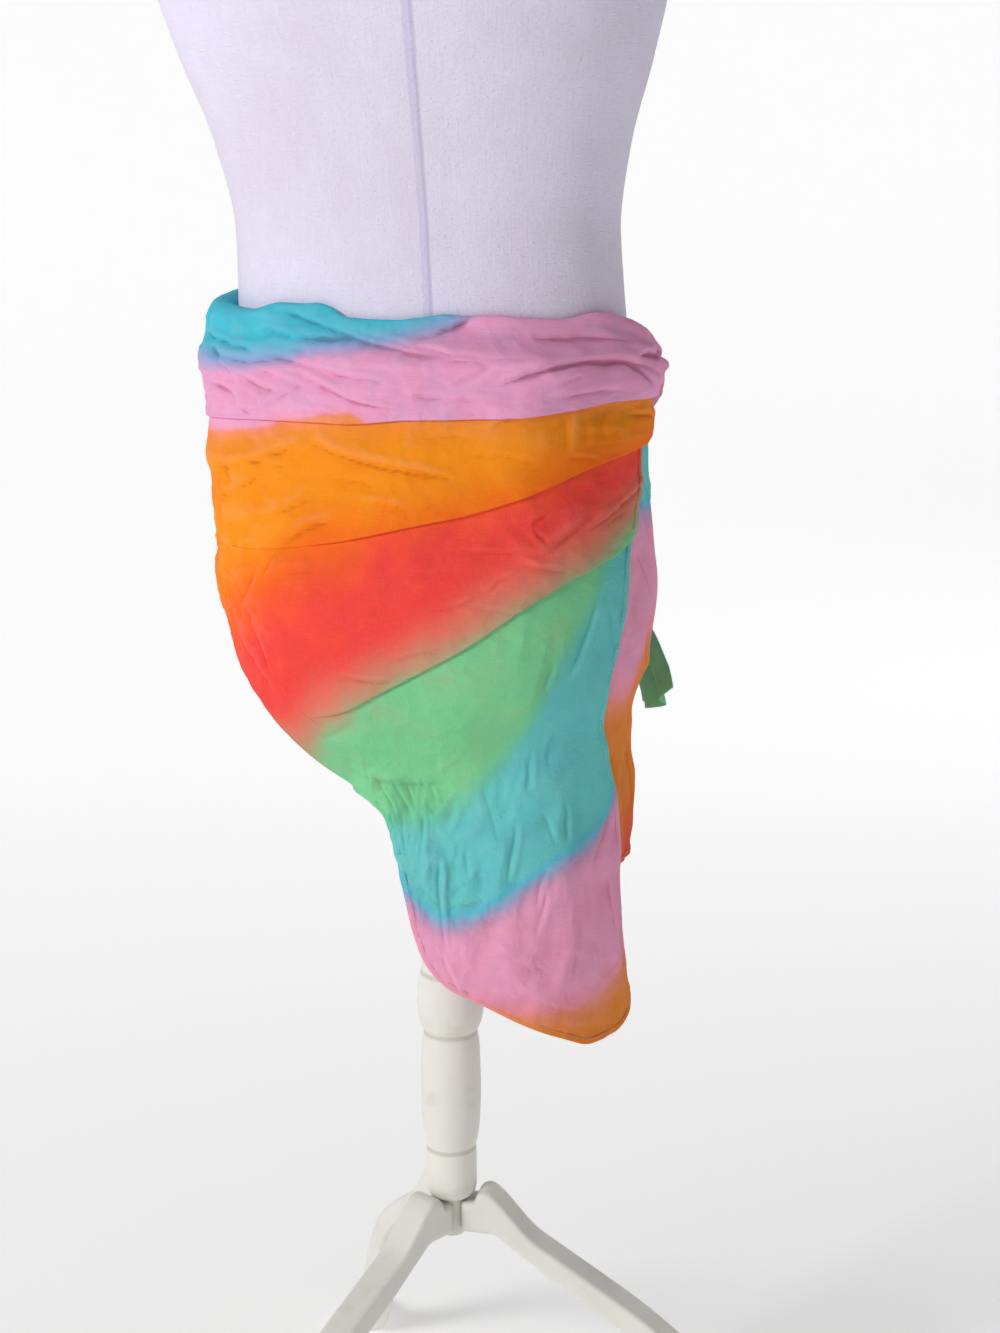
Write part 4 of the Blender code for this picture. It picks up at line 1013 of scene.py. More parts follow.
def make_hip_cloth():
    """The orange stretch, a ring: its top under the roll, its foot over what comes below."""
    angle = (np.arange(HIP_COLUMNS) * 360.0 / HIP_COLUMNS)[None, :]
    _top, roll_foot, foot = smooth_lookup(ROUND_EDGES, angle, turn=360.0)
    start = roll_foot + lap_depth(angle)
    height = rows_down(start, foot, HIP_ROWS)
    level = raised(angle) * over_next(angle, height, foot) + inner_layers(angle)
    low, low_level = under_rows(angle, foot, level[-1:])
    out = np.concatenate([REST + LEVEL * level - tuck(angle, height, start), REST + LEVEL * low_level])
    height = np.concatenate([height, low])
    full = np.broadcast_to(angle, height.shape)
    dye = back_dye(full, height, 0.0)
    dye[HIP_ROWS:] = back_dye(full[HIP_ROWS:], 2 * foot - low, 0.0)
    return grid_piece("hip_cloth", cloth_point(full, height, out), COTTON, True, dye,
                      flat_map(full, height, True), hollow=relief(full, height))


SEAT_COLUMNS, SEAT_ROWS = 380, 66


def back_angles(share, right_height):
    """Angles across the back from its left margin to its free right edge at that height."""
    right = smooth_lookup(RIGHT_EDGE, right_height)[0]
    return LEFT_MARGIN + share * (right - LEFT_MARGIN)


def make_seat_cloth():
    """The red stretch over the seat."""
    across = np.linspace(0.0, 1.0, SEAT_COLUMNS)[None, :]
    share = np.linspace(0.0, 1.0, SEAT_ROWS)[:, None]
    angle = back_angles(across, SEAT_RIGHT[0] + (SEAT_RIGHT[1] - SEAT_RIGHT[0]) * share)
    start = smooth_lookup(ROUND_EDGES, angle, turn=360.0)[2] + lap(angle)
    foot = smooth_lookup(BACK_EDGES, angle)[0]
    height = start + (foot - start) * share
    level = raised(angle) * over_next(angle, height, foot) + inner_layers(angle)
    low, low_level = under_rows(angle[-1:], foot[-1:], level[-1:])
    out = np.concatenate([REST + LEVEL * level - tuck(angle, height, start), REST + LEVEL * low_level])
    full = np.concatenate([angle, np.broadcast_to(angle[-1:], low.shape)])
    dye = np.concatenate([back_dye(angle, height, 1.0), back_dye(full[SEAT_ROWS:], 2 * foot[-1:] - low, 1.0)])
    height = np.concatenate([height, low])
    return grid_piece("seat_cloth", cloth_point(full, height, out), COTTON, False, dye,
                      flat_map(full, height), hollow=relief(full, height))


FALL_COLUMNS, FALL_ROWS = 380, 100


def fall_place(angle, share):
    """Height and how far out, on the fall, at that share of the way to the hem."""
    seat, hem = smooth_lookup(BACK_EDGES, angle)
    start = seat + lap(angle)
    return start + (hem - start) * share, REST + LEVEL * inner_layers(angle)


def fall_angles(across, share):
    """Angles across the fall at that share of the way down."""
    return back_angles(across, FALL_RIGHT[0] + (FALL_RIGHT[1] - FALL_RIGHT[0]) * share)


def make_fall_cloth():
    """The green to orange stretch, down to the hanging corner."""
    across = np.linspace(0.0, 1.0, FALL_COLUMNS)[None, :]
    share = np.linspace(0.0, 1.0, FALL_ROWS)[:, None]
    angle = fall_angles(across, share)
    height, out = fall_place(angle, share)
    return grid_piece("fall_cloth", cloth_point(angle, height, out), COTTON, False,
                      back_dye(angle, height, 2.0), flat_map(angle, height), hollow=relief(angle, height))


FRONT_COLUMNS, FRONT_ROWS = 320, 90


def front_place(angle, share):
    """Height and how far out, on the front, at that share of the way to its hem."""
    start = smooth_lookup(ROUND_EDGES, angle, turn=360.0)[2] + lap(angle)
    hem = smooth_lookup(FRONT_HEM, angle)[0]
    height = start + (hem - start) * share
    behind = 1 - smooth_step(np.abs(angle_apart(angle, BACK_MIDDLE)), 26.0, 42.0)
    hangs = 1 - smooth_step(height, 0.625, 0.675)
    return height, REST - FRONT_TUCK * behind * hangs - tuck(angle, height, start)


def make_front_cloth():
    """The cloth's other end: in under the back's right edge, and round the front."""
    angle = np.linspace(RIGHT_MARGIN, LEFT_MARGIN + 360.0, FRONT_COLUMNS)[None, :]
    share = np.linspace(0.0, 1.0, FRONT_ROWS)[:, None]
    angle = np.broadcast_to(angle, (FRONT_ROWS, FRONT_COLUMNS))
    height, out = front_place(angle, share)
    return grid_piece("front_cloth", cloth_point(angle, height, out), COTTON, False,
                      front_dye(angle, height), flat_map(angle, height), hollow=relief(angle, height))


hip_cloth = make_hip_cloth()
seat_cloth = make_seat_cloth()
fall_cloth = make_fall_cloth()
front_cloth = make_front_cloth()
for stretch in (hip_cloth, seat_cloth, fall_cloth, front_cloth):
    print(stretch.name, "area", round(area_of(stretch), 4), "faces", len(stretch.data.polygons))
    thicken(stretch)

# %% [markdown]
# ## The rolled top edge
# The top is turned over and rolled down, so it is thick and gathered, turquoise on its crest and
# pink below. It goes in against the form, over, and down its outer side, where its foot turns under.

# %% Roll
ROLL_COLUMNS, ROLL_ARC_ROWS, ROLL_SIDE_ROWS = 500, 18, 40
RIPPLE = 0.0012


def make_roll_cloth():
    """A ring: an arc from the inner lip over the crest, then the outer side down to a turned foot."""
    angle = (np.arange(ROLL_COLUMNS) * 360.0 / ROLL_COLUMNS)[None, :]
    top, foot, _hip = smooth_lookup(ROUND_EDGES, angle, turn=360.0)
    top = top + RIPPLE * lattice_noise(angle, np.zeros_like(angle), 26, 10, 0.0, 71)
    lip = LIP_GAP + WALL / 2
    out = REST + LEVEL * (1 + inner_layers(angle))
    thick = stand_off(angle, top - 0.010) + out
    arch = 0.0035 + 0.34 * thick
    turn = np.linspace(-40.0, 180.0, ROLL_ARC_ROWS)[:, None]
    share = 0.5 - 0.5 * np.cos(np.radians(np.maximum(turn, 0.0)))
    arc_height = top - arch + arch * np.sin(np.radians(turn))
    full = np.broadcast_to(angle, arc_height.shape)
    lift = relief(full, arc_height) * smooth_step(share, 0.15, 0.85)
    arc = place(full, arc_height, form_radius(full, arc_height) + lip + (thick - lip) * share + lift)
    down = np.linspace(0.0, 1.0, ROLL_SIDE_ROWS + 1)[1:, None]
    height = top - arch + (foot - top + arch) * down
    full = np.broadcast_to(angle, height.shape)
    outer = cloth_point(full, height, out)
    start = place(full, height, form_radius(full, height) + thick + relief(full, height))
    side = start + (outer - start) * smooth_step(down, 0.0, 0.4)[..., None]
    share = np.linspace(0.0, 1.0, UNDER_ROWS + 1)[1:, None]
    low = foot + lap_depth(angle) * UNDER_SHARE * smooth_step(share, 0.05, 1.0) ** 1.3
    low = low - UNDER_ROUND * np.sin(np.pi * np.clip(share / UNDER_BEND, 0.0, 1.0))
    low_out = out - 0.5 * LEVEL * smooth_step(share, 0.0, UNDER_BEND)
    under = cloth_point(np.broadcast_to(angle, low.shape), low, low_out)
    heights = np.concatenate([arc_height, height, low])
    full = np.broadcast_to(angle, heights.shape)
    dye = np.concatenate([back_dye(full[:ROLL_ARC_ROWS + ROLL_SIDE_ROWS],
                                   heights[:ROLL_ARC_ROWS + ROLL_SIDE_ROWS], -0.5),
                          back_dye(full[:UNDER_ROWS], 2 * foot - low, -0.5)])
    return grid_piece("roll_cloth", np.concatenate([arc, side, under]), COTTON, True, dye,
                      flat_map(full, heights, True), hollow=relief(full, heights))


roll_cloth = thicken(make_roll_cloth())
print("roll_cloth area", round(area_of(roll_cloth), 4))

# %% [markdown]
# ## Hems
# The cloth's cut edges are turned twice and stitched, so a flat band about 5 mm wide and twice as
# thick follows each one. A flattened oval is carried along the edge, in the cloth's own surface.

# %% Hems along the free edges
HEM_WIDE, HEM_THICK, HEM_CORNERS = 0.0052, 0.0008, 14
HEM_DROP = 0.0004


def unit(vectors):
    """The vectors, each scaled to length 1."""
    return vectors / np.linalg.norm(vectors, axis=1, keepdims=True)


def hem_piece(name, edge, inner, dye):
    """An oval carried along an edge, square to it and flat in the cloth, closed at its ends.

    Its long way is cross(outwards, run), on the side of the inner points, and its short way is
    cross(run, long way).
    """
    run = np.gradient(edge, axis=0)
    outward = unit((edge - (AXIS_X, AXIS_Y, 0.0)) * (1.0, 1.0, 0.0))
    wide = unit(np.cross(outward, run))
    wide = wide * np.sign((wide * (inner - edge)).sum())
    normal = unit(np.cross(run, wide))
    spin = np.radians(np.arange(HEM_CORNERS) * 360.0 / HEM_CORNERS)
    across = HEM_WIDE * (0.5 - 0.5 * np.sign(np.cos(spin)) * np.abs(np.cos(spin)) ** 0.7)
    out = HEM_THICK * np.sign(np.sin(spin)) * np.abs(np.sin(spin)) ** 0.7
    points = edge[:, None] + across[None, :, None] * wide[:, None] + out[None, :, None] * normal[:, None]
    along = np.cumsum(np.linalg.norm(run, axis=1))
    flat = np.broadcast_to(along[:, None], (len(edge), HEM_CORNERS + 1))
    down = np.broadcast_to(np.append(across, across[0])[None, :], flat.shape)
    values = np.append(np.broadcast_to(dye[:, None], (len(edge), HEM_CORNERS)).ravel(), [dye[0], dye[-1]])
    return grid_piece(name, points, STITCHED, True, values, (down, flat), closed=True)


def make_back_hem():
    """Along the hem of the fall, from the left margin to the corner."""
    across = np.linspace(0.004, 0.994, 420)
    angle = fall_angles(across, np.ones_like(across))
    height, out = fall_place(angle, np.ones_like(across))
    edge = cloth_point(angle, height - HEM_DROP, out)
    return hem_piece("hem_back", edge, cloth_point(angle, height + HEM_WIDE, out),
                     back_dye(angle, height, 2.0) + 0.1)


def make_right_hem():
    """Up the free right edge of the fall, from the corner to its top."""
    share = np.linspace(0.994, 0.02, 260)
    right = np.ones_like(share)
    angle = fall_angles(right, share)
    height, out = fall_place(angle, share)
    edge = cloth_point(angle, height, out)
    inner = cloth_point(angle - 1000 * HEM_WIDE / MM_PER_DEGREE, height, out)
    return hem_piece("hem_right", edge, inner, back_dye(angle, height, 2.0))


def make_seat_hem():
    """Up the free right edge of the seat stretch, to where it goes in under the hips."""
    share = np.linspace(0.99, 0.20, 90)
    angle = back_angles(np.ones_like(share), SEAT_RIGHT[0] + (SEAT_RIGHT[1] - SEAT_RIGHT[0]) * share)
    start = smooth_lookup(ROUND_EDGES, angle, turn=360.0)[2] + lap(angle)
    foot = smooth_lookup(BACK_EDGES, angle)[0]
    height = start + (foot - start) * share
    level = raised(angle) * over_next(angle, height, foot) + inner_layers(angle)
    out = REST + LEVEL * level - tuck(angle, height, start)
    edge = cloth_point(angle, height, out)
    inner = cloth_point(angle - 1000 * HEM_WIDE / MM_PER_DEGREE, height, out)
    return hem_piece("hem_seat", edge, inner, back_dye(angle, height, 1.0))


def make_front_hem():
    """Along the hem of the front."""
    angle = np.linspace(RIGHT_MARGIN + 1.0, LEFT_MARGIN + 359.0, 420)
    height, out = front_place(angle, np.ones_like(angle))
    edge = cloth_point(angle, height - HEM_DROP, out)
    return hem_piece("hem_front", edge, cloth_point(angle, height + HEM_WIDE, out),
                     front_dye(angle, height))


hem_back, hem_right = make_back_hem(), make_right_hem()
hem_seat, hem_front = make_seat_hem(), make_front_hem()
print("hems:", [len(hem.data.polygons) for hem in (hem_back, hem_right, hem_seat, hem_front)])

# %% [markdown]
# ## The knot and its two corners
# The two top corners are tied at the wearer's right front. The knot is a gathered lump with one
# corner wound over it, and the corners hang down from under it, pleated where they leave it.

# %% Knot and corners
KNOT_ROWS, KNOT_COLUMNS = 70, 120
BAND_STEPS, BAND_CORNERS = 150, 40
# shares of the lump's size
KNOT_GROOVE, KNOT_PLEAT = 0.10, 0.035
# half turns to each side, then metres
BAND_REACH, BAND_WIDE, BAND_THICK, BAND_SLANT = 0.62, 0.0085, 0.0026, 0.006


def on_roll(along, height, out):
    """A point in front of the knot's place: that far along the hips, at a height, that far out."""
    reach = cloth_radius(KNOT_ANGLE, np.array(KNOT_HEIGHT))
    skin = REST + LEVEL + WALL / 2 + AIR
    turn = KNOT_ANGLE + np.degrees(along / reach)
    return place(turn, height, cloth_radius(turn, np.full(np.shape(turn), KNOT_HEIGHT)) + skin + out)


def make_knot():
    """An egg whose radius is cut by three wide grooves and by pleats that run to its two ends."""
    spin = np.radians(np.arange(KNOT_COLUMNS) * 360.0 / KNOT_COLUMNS)[None, :]
    tilt = np.radians(np.linspace(88.0, -88.0, KNOT_ROWS))[:, None]
    groove = 1 - KNOT_GROOVE * np.cos(tilt) * (1 + np.cos(3 * spin + 1.2)) / 2
    pleat = 1 - 2 * np.abs(np.sin(2.5 * spin + 1.6 * np.sin(tilt) + 0.4 * np.cos(3 * spin)))
    swell = groove + KNOT_PLEAT * pleat * np.cos(tilt)
    along = KNOT_LONG * np.cos(tilt) * np.cos(spin) * swell
    height = KNOT_HEIGHT + KNOT_TALL * np.cos(tilt) * np.sin(spin) * swell
    out = KNOT_DEEP * (1 + np.sin(tilt)) * (1 + 0.03 * pleat) + 0.0 * spin
    dye = 1.35 + 0.5 * np.sin(spin + 0.6) * np.cos(tilt) + 0.3 * np.sin(2 * tilt)
    flat = flat_map(np.degrees(spin) * 0.10 + 0 * tilt, np.broadcast_to(0.1 * tilt, along.shape), True)
    return grid_piece("knot_core", on_roll(along, height, out), COTTON, True,
                      np.append(dye.ravel(), [1.3, 1.3]), flat, closed=True)


def make_knot_band():
    """A pleated strap wound over the lump: an oval carried round it, slanted, open to the roll."""
    around = np.linspace(-BAND_REACH, BAND_REACH, BAND_STEPS)[:, None] * np.pi
    spin = np.radians(np.arange(BAND_CORNERS) * 360.0 / BAND_CORNERS)[None, :]
    wide = BAND_WIDE + 0.0022 * np.cos(around)
    thick = BAND_THICK + 0.0004 * np.cos(2 * around)
    pleat = 0.0006 * np.cos(5 * spin + 1.5 * around)
    bulge = (thick + pleat) * np.sin(spin)
    lift = KNOT_DEEP * (1 + np.cos(around)) + 0.0012 + bulge * np.cos(around * 0.7)
    tall = (KNOT_TALL + 0.0010) * np.sin(around) + bulge * np.sin(around * 0.7)
    along = -BAND_SLANT * np.sin(around) + wide * np.cos(spin)
    points = on_roll(along, KNOT_HEIGHT + tall, np.maximum(lift, 0.0004))
    dye = np.append((1.15 + 0.25 * np.sin(around) + 0.0 * spin).ravel(), [1.0, 1.3])
    up = np.broadcast_to(0.02 * around, points.shape[:2])
    flat = flat_map(np.degrees(spin) * 0.08 + 0 * around, up, True)
    return grid_piece("knot_band", points, COTTON, True, dye, flat, closed=True)


# end angle, end height, width at the end, distance at the end, first and last dye, number of pleats,
# by what share it is drawn in towards the frame's middle above its end, and how many degrees it
# swings to the front there
TAIL_SHAPES = {
    "corner_long": (122.0, 0.650, 0.064, 0.165, 3.1, 4.15, 4.0, 0.080, 10.0),
    "corner_short": (141.0, 0.764, 0.040, 0.158, 1.2, 2.4, 3.0, 0.030, 0.0),
}
TAIL_ROWS, TAIL_COLUMNS = 100, 56
OPENS_LATE = 1.5


def make_corner(name):
    """A corner of the cloth from under the knot to its slanted end: pleats that open as it widens."""
    end_angle, end_height, end_width, end_radius = TAIL_SHAPES[name][:4]
    first_dye, last_dye, pleats, closer, swings = TAIL_SHAPES[name][4:]
    side = -1.0 if end_angle < KNOT_ANGLE else 1.0
    across = np.linspace(-1.0, 1.0, TAIL_COLUMNS)[None, :]
    share = np.linspace(0.0, 1.0, TAIL_ROWS)[:, None]
    top_along = side * 0.0085 + 0.0075 * across
    top_height = KNOT_HEIGHT - KNOT_TALL * np.sqrt(1 - (top_along / KNOT_LONG) ** 2) + 0.003
    top = on_roll(top_along, top_height, np.full(across.shape, KNOT_DEEP))
    end_turn = end_angle + np.degrees(across * end_width / 2 / end_radius)
    low = end_height + 0.014 * side * across + 0.010 * across ** 2
    end = place(end_turn, low, np.full(across.shape, end_radius))
    top_middle = top.mean(axis=1, keepdims=True)
    end_middle = end.mean(axis=1, keepdims=True)
    middle = top_middle + (end_middle - top_middle) * share[..., None]
    spread = (share ** OPENS_LATE)[..., None]
    points = middle + (top - top_middle) * (1 - spread) + (end - end_middle) * spread
    bowed = smooth_step(share, 0.0, 0.35) * (1 - smooth_step(share, 0.72, 1.0))
    points[..., :2] *= 1 - closer * bowed[..., None]
    swing = np.radians(swings * bowed)
    x, y = points[..., 0] - AXIS_X, points[..., 1] - AXIS_Y
    points[..., 0] = AXIS_X + x * np.cos(swing) - y * np.sin(swing)
    points[..., 1] = AXIS_Y + x * np.sin(swing) + y * np.cos(swing)
    away = np.array([math.sin(math.radians(end_angle)), -math.cos(math.radians(end_angle)), 0.0])
    wave = np.cos(across * math.pi * pleats / 2 + 0.8 * share) * (0.0020 + 0.0026 * share)
    small = 0.0007 * (1 - 2 * np.abs(lattice_noise(across * 14 + 40, share * 0.16, 16, 14, 0.1, 81)))
    points = points + ((wave + small) * smooth_step(share, 0.0, 0.12))[..., None] * away
    dye = first_dye + (last_dye - first_dye) * smooth_step(share + 0.06 * across, 0.05, 0.55)
    flat = flat_map(across * end_width * 500 / MM_PER_DEGREE + 0 * share, 1.0 - 0.24 * share + 0 * across)
    return grid_piece(name, points, COTTON, False, dye, flat)


knot_core, knot_band = make_knot(), make_knot_band()
corner_long, corner_short = make_corner("corner_long"), make_corner("corner_short")
for corner in (corner_long, corner_short):
    print(corner.name, "area", round(area_of(corner), 4))
    thicken(corner)

# %% [markdown]
# ## The dress form
# The form is covered in pale jersey, cut in panels. A seam runs down the back, with a second one
# round towards the side, and the jersey wrinkles faintly between them. The cover is the same loft
# as in the CAD, with the seams pressed in.

# %% Form cover
COVER_COLUMNS, COVER_ROWS = 240, 150
SEAM_ANGLES = (15.9, 74.0, 138.0, 196.0, 254.0, 318.0)
SEAM_HALF_MM, SEAM_DEEP = 2.6, 0.00022
SEAM_BAND_MM = 9.0


def cover_heights():
    """Heights from the neck to the underside, closer together where the form rounds over."""
    high = np.linspace(FORM_TOP, 1.32, 34)[:-1]
    middle = np.linspace(1.32, 0.68, 84)[:-1]
    low = FORM_BOTTOM + (0.68 - FORM_BOTTOM) * np.linspace(1.0, 0.0, COVER_ROWS - 116) ** 1.9
    return np.concatenate([high, middle, low])


def make_form_cover():
    """Radius of the loft, less a bell-shaped groove at each seam, plus faint slanting wrinkles."""
    height = cover_heights()[:, None]
    angle = (np.arange(COVER_COLUMNS) * 360.0 / COVER_COLUMNS)[None, :]
    angle, height = np.broadcast_arrays(angle, height)
    radius = form_radius(angle, height)
    body = smooth_step(height, 0.66, 0.72)
    seam = np.zeros_like(radius)
    for at in SEAM_ANGLES:
        aside = angle_apart(angle, at) * MM_PER_DEGREE
        seam += np.exp(-(aside / SEAM_HALF_MM) ** 2) - 0.5 * np.exp(-((np.abs(aside) - 3.2) / 1.8) ** 2)
    wrinkle = ridges(angle, height, 26, 44, 0.12, 61) * smooth_step(height, 0.95, 1.0)
    lift = (0.00022 * wrinkle - SEAM_DEEP * seam) * body * (1 - smooth_step(height, 1.36, 1.40))
    cover = grid_piece("form_cover", place(angle, height, radius + lift), None, True, closed=True,
                       flat=flat_map(angle, height, True))
    return cover


def jersey():
    """Pale lilac knit: fine wales and slubs, a shaded band beside the back seam, faint clouding."""
    knit = Sketch("jersey", 0.88)
    along = knit.node("ShaderNodeUVMap", {"uv_map": "cloth"})
    around = knit.part(along, 0)
    seam = SEAM_ANGLES[0] * MM_PER_DEGREE / 1000
    band = (around - (seam - SEAM_BAND_MM / 1000)).between(-0.0012, 0.0012)
    band = band * (1 - (around - seam).between(-0.0010, 0.0010))
    wander = (knit.noise(along, 30.0, 3.0) - 0.5) * 0.0022
    line = (around + wander - seam).absolute().between(0.0004, 0.0034)
    wales = knit.noise(knit.stretched(along, (9.0, 1.0, 1.0)), 60.0, 4.0)
    slubs = knit.noise(knit.stretched(along, (1.0, 3.0, 1.0)), 210.0, 3.0).between(0.50, 0.74)
    cloudy = knit.noise(along, 9.0, 4.0).between(0.35, 0.68)
    cool = knit.blend(cloudy, paint(224, 218, 238), paint(218, 209, 226))
    shaded = knit.blend(band * 0.42, cool, paint(186, 180, 214))
    sewn = knit.blend((1 - line) * 0.40, shaded, paint(158, 150, 178))
    lit = wales.between(0.4, 0.7) * 0.10 + slubs * 0.22
    knit.set_skin("Base Color", knit.blend(lit, sewn, paint(250, 248, 255)))
    knit.set_skin("Specular IOR Level", 0.2)
    knit.bump(wales * 0.5 + slubs * 0.7 + knit.noise(along, 120.0, 3.0) * 0.5, 0.0008, 0.6)
    return knit.material


form_cover = make_form_cover()
form_cover.data.materials[0] = jersey()
print("form_cover faces", len(form_cover.data.polygons))

# %% [markdown]
# ## The painted stand
# The pole is turned on a lathe, so its profile is carried round a circle. The legs are sawn boards
# with softened edges: a rounded oblong carried from the hub to the foot, its height following the
# board's two sawn curves. All of it has several coats of warm white satin paint.

# %% Pole, hub, neck cap and legs
# height, radius
POLE_PROFILE = (
    (0.6057, 0.0215), (0.462, 0.0215), (0.457, 0.0226), (0.450, 0.0242), (0.441, 0.0253),
    (0.432, 0.0256), (0.422, 0.0248), (0.413, 0.0226), (0.4095, 0.0206), (0.4065, 0.0206),
    (0.403, 0.0214), (0.385, 0.0226), (0.360, 0.0232), (0.338, 0.0226), (0.320, 0.0208),
    (0.3135, 0.0192), (0.3105, 0.0192), (0.307, 0.0197), (0.281, 0.0197), (0.276, 0.0190),
    (0.2715, 0.0160), (0.2700, 0.0120),
)
HUB_RADIUS, HUB_TOP, HUB_BOTTOM = 0.0108, 0.2697, 0.239
CAP_RADIUS, CAP_HEIGHT = 0.050, 0.014
# distance from the axis, height, along a leg's top and underneath
LEG_TOP = (
    (0.0111, 0.2690), (0.0205, 0.2690), (0.0225, 0.2760), (0.0300, 0.2790), (0.0400, 0.2720),
    (0.0500, 0.2610), (0.0650, 0.2445), (0.0850, 0.2310), (0.1200, 0.2085), (0.1550, 0.1850),
    (0.1850, 0.1600), (0.2100, 0.1300), (0.2320, 0.0950), (0.2500, 0.0620), (0.2660, 0.0380),
    (0.2820, 0.0240), (0.3000, 0.0190), (0.3060, 0.0150),
)
LEG_UNDER = (
    (0.0111, 0.2440), (0.0330, 0.2440), (0.0500, 0.2340), (0.0820, 0.2105), (0.1260, 0.1820),
    (0.1560, 0.1590), (0.1810, 0.1330), (0.2030, 0.1020), (0.2210, 0.0700), (0.2370, 0.0400),
    (0.2520, 0.0160), (0.2640, 0.0040),
)
LEG_SOLE = ((0.3056, 0.0002), (0.2680, 0.0000))
LEG_WIDTH = 0.026
LEG_ANGLES = {"stand_leg_a": -29.0, "stand_leg_b": 91.0, "stand_leg_c": 211.0}
LATHE_STEPS, LEG_STEPS, LEG_CORNERS, BOARD_POWER = 96, 110, 40, 9.0
POLE_STEPS, HUB_STEPS, CAP_STEPS = 240, 24, 48
# a turned piece's ends start this far from its axis
TIP = 0.001
# heights of the pole's grooves, where shade is painted in as darker rings
GROOVES = (0.4080, 0.3120, 0.4570)


def painted_wood():
    """Warm white satin paint: faint brush marks, worn gloss, random grime, and painted shade in the grooves.
    """
    coat = Sketch("painted_wood", 0.42)
    where = coat.node("ShaderNodeTexCoord", output=3)
    brush = coat.noise(coat.stretched(where, (9.0, 9.0, 0.5)), 34.0, 3.0)
    cloudy = coat.noise(where, 9.0, 4.0).between(0.36, 0.66)
    grime = coat.noise(where, 42.0, 5.0).between(0.56, 0.74)
    white = coat.blend(cloudy, paint(233, 230, 221), paint(224, 223, 214))
    up = coat.part(where, 2)
    # painted shade: a darker ring at each groove's height
    grooves = 0
    for level in GROOVES:
        grooves = (1 - (up - level).absolute().between(0.0006, 0.0030)) + grooves
    # the random grime and the painted groove shade both darken towards one warm grey
    coat.set_skin("Base Color", coat.blend(grime * 0.16 + grooves * 0.42, white, paint(160, 152, 136)))
    coat.set_skin("Roughness", 0.34 + 0.16 * cloudy + 0.08 * brush)
    coat.bump(brush, 0.0005, 0.35)
    return coat.material


PAINTED = painted_wood()


def along_profile(profile, steps):
    """Points evenly spaced along a profile, between its corners on a curve that never overshoots."""
    corners = np.asarray(profile, dtype=float)
    run = np.concatenate([[0.0], np.cumsum(np.hypot(*np.diff(corners, axis=0).T))])
    table = np.column_stack([run, corners])
    return np.stack(smooth_lookup(table, np.linspace(0.0, run[-1], steps)), axis=-1)


def turned(name, profile, steps, centre=(0.0, 0.0)):
    """A profile of heights and radii carried round a circle, and closed on its axis."""
    rows = along_profile(profile, steps)
    spin = np.radians(np.arange(LATHE_STEPS) * 360.0 / LATHE_STEPS)[None, :]
    height, radius = rows[:, :1], rows[:, 1:]
    points = np.stack([AXIS_X + centre[0] + radius * np.sin(spin), AXIS_Y + centre[1] - radius * np.cos(spin),
                       height + 0.0 * spin], axis=-1)
    return grid_piece(name, points, PAINTED, True, closed=True)


def make_leg(name, angle):
    """A rounded oblong, |x/w|^9 + |z/h|^9 = 1, carried between the board's top and underside curves."""
    over = np.concatenate([along_profile(LEG_TOP, LEG_STEPS), LEG_SOLE[:1]])
    under = np.concatenate([along_profile(LEG_UNDER, LEG_STEPS), LEG_SOLE[1:]])
    spin = np.radians((np.arange(LEG_CORNERS) + 0.5) * 360.0 / LEG_CORNERS)
    size = (np.abs(np.cos(spin)) ** BOARD_POWER + np.abs(np.sin(spin)) ** BOARD_POWER) ** (-1 / BOARD_POWER)
    wide, tall = size * np.cos(spin), size * np.sin(spin)
    middle, half = (over + under) / 2, (over - under) / 2
    section = middle[:, None] + half[:, None] * tall[None, :, None]
    side = np.broadcast_to(LEG_WIDTH / 2 * wide, section.shape[:2])
    turn = math.radians(angle)
    reach, height = section[..., 0], section[..., 1]
    points = np.stack([AXIS_X + reach * math.sin(turn) + side * math.cos(turn),
                       AXIS_Y - reach * math.cos(turn) + side * math.sin(turn), height], axis=-1)
    return grid_piece(name, points[:, ::-1], PAINTED, True, closed=True)


def cap_profile():
    """The neck cap's low dome and its rim, from the middle down."""
    base = FORM_TOP + 0.0003
    dome = [(base + CAP_HEIGHT - 0.006 * share ** 3, CAP_RADIUS * share)
            for share in (0.02, 0.35, 0.65, 0.85, 0.96)]
    return [*dome, (base + CAP_HEIGHT - 0.0072, CAP_RADIUS - 0.0002), (base + 0.004, CAP_RADIUS),
            (base, CAP_RADIUS - 0.001), (base, TIP)]


neck = place(0.0, np.array(FORM_TOP), np.array(0.0))
pole = turned("turned_pole", [(POLE_PROFILE[0][0], TIP), *POLE_PROFILE, (POLE_PROFILE[-1][0], TIP)],
              POLE_STEPS)
hub = turned("hub_post", [(HUB_TOP, TIP), (HUB_TOP, HUB_RADIUS), (HUB_BOTTOM, HUB_RADIUS),
                          (HUB_BOTTOM, TIP)], HUB_STEPS)
cap = turned("neck_cap", cap_profile(), CAP_STEPS, (float(neck[0]) - AXIS_X, float(neck[1]) - AXIS_Y))
legs = {node: make_leg(node.replace("stand_leg", "leg"), angle) for node, angle in LEG_ANGLES.items()}
print("stand pieces:", [pole.name, hub.name, cap.name, *(leg.name for leg in legs.values())])

# %% [markdown]
# ## Floor
# The photograph is cut out on white. A studio's way to an even, bright ground is a sweep: a pale
# floor that curves up into the backdrop, so that no horizon shows. Here it curves up all round, as
# a very wide bowl. It glows as paper lit from behind does, most of all behind the stand.

# %% Floor that sweeps up all round
SWEEP_FLAT, SWEEP_WIDE, SWEEP_HIGH = 3.6, 6.5, 3.0
SWEEP_ROWS, SWEEP_COLUMNS, SWEEP_INNER, SWEEP_DROP = 48, 96, 0.3, 0.0004
SWEEP_GLOW, GLOW_NEAR, GLOW_FROM, GLOW_TO = 0.54, 0.36, -0.8, 2.6


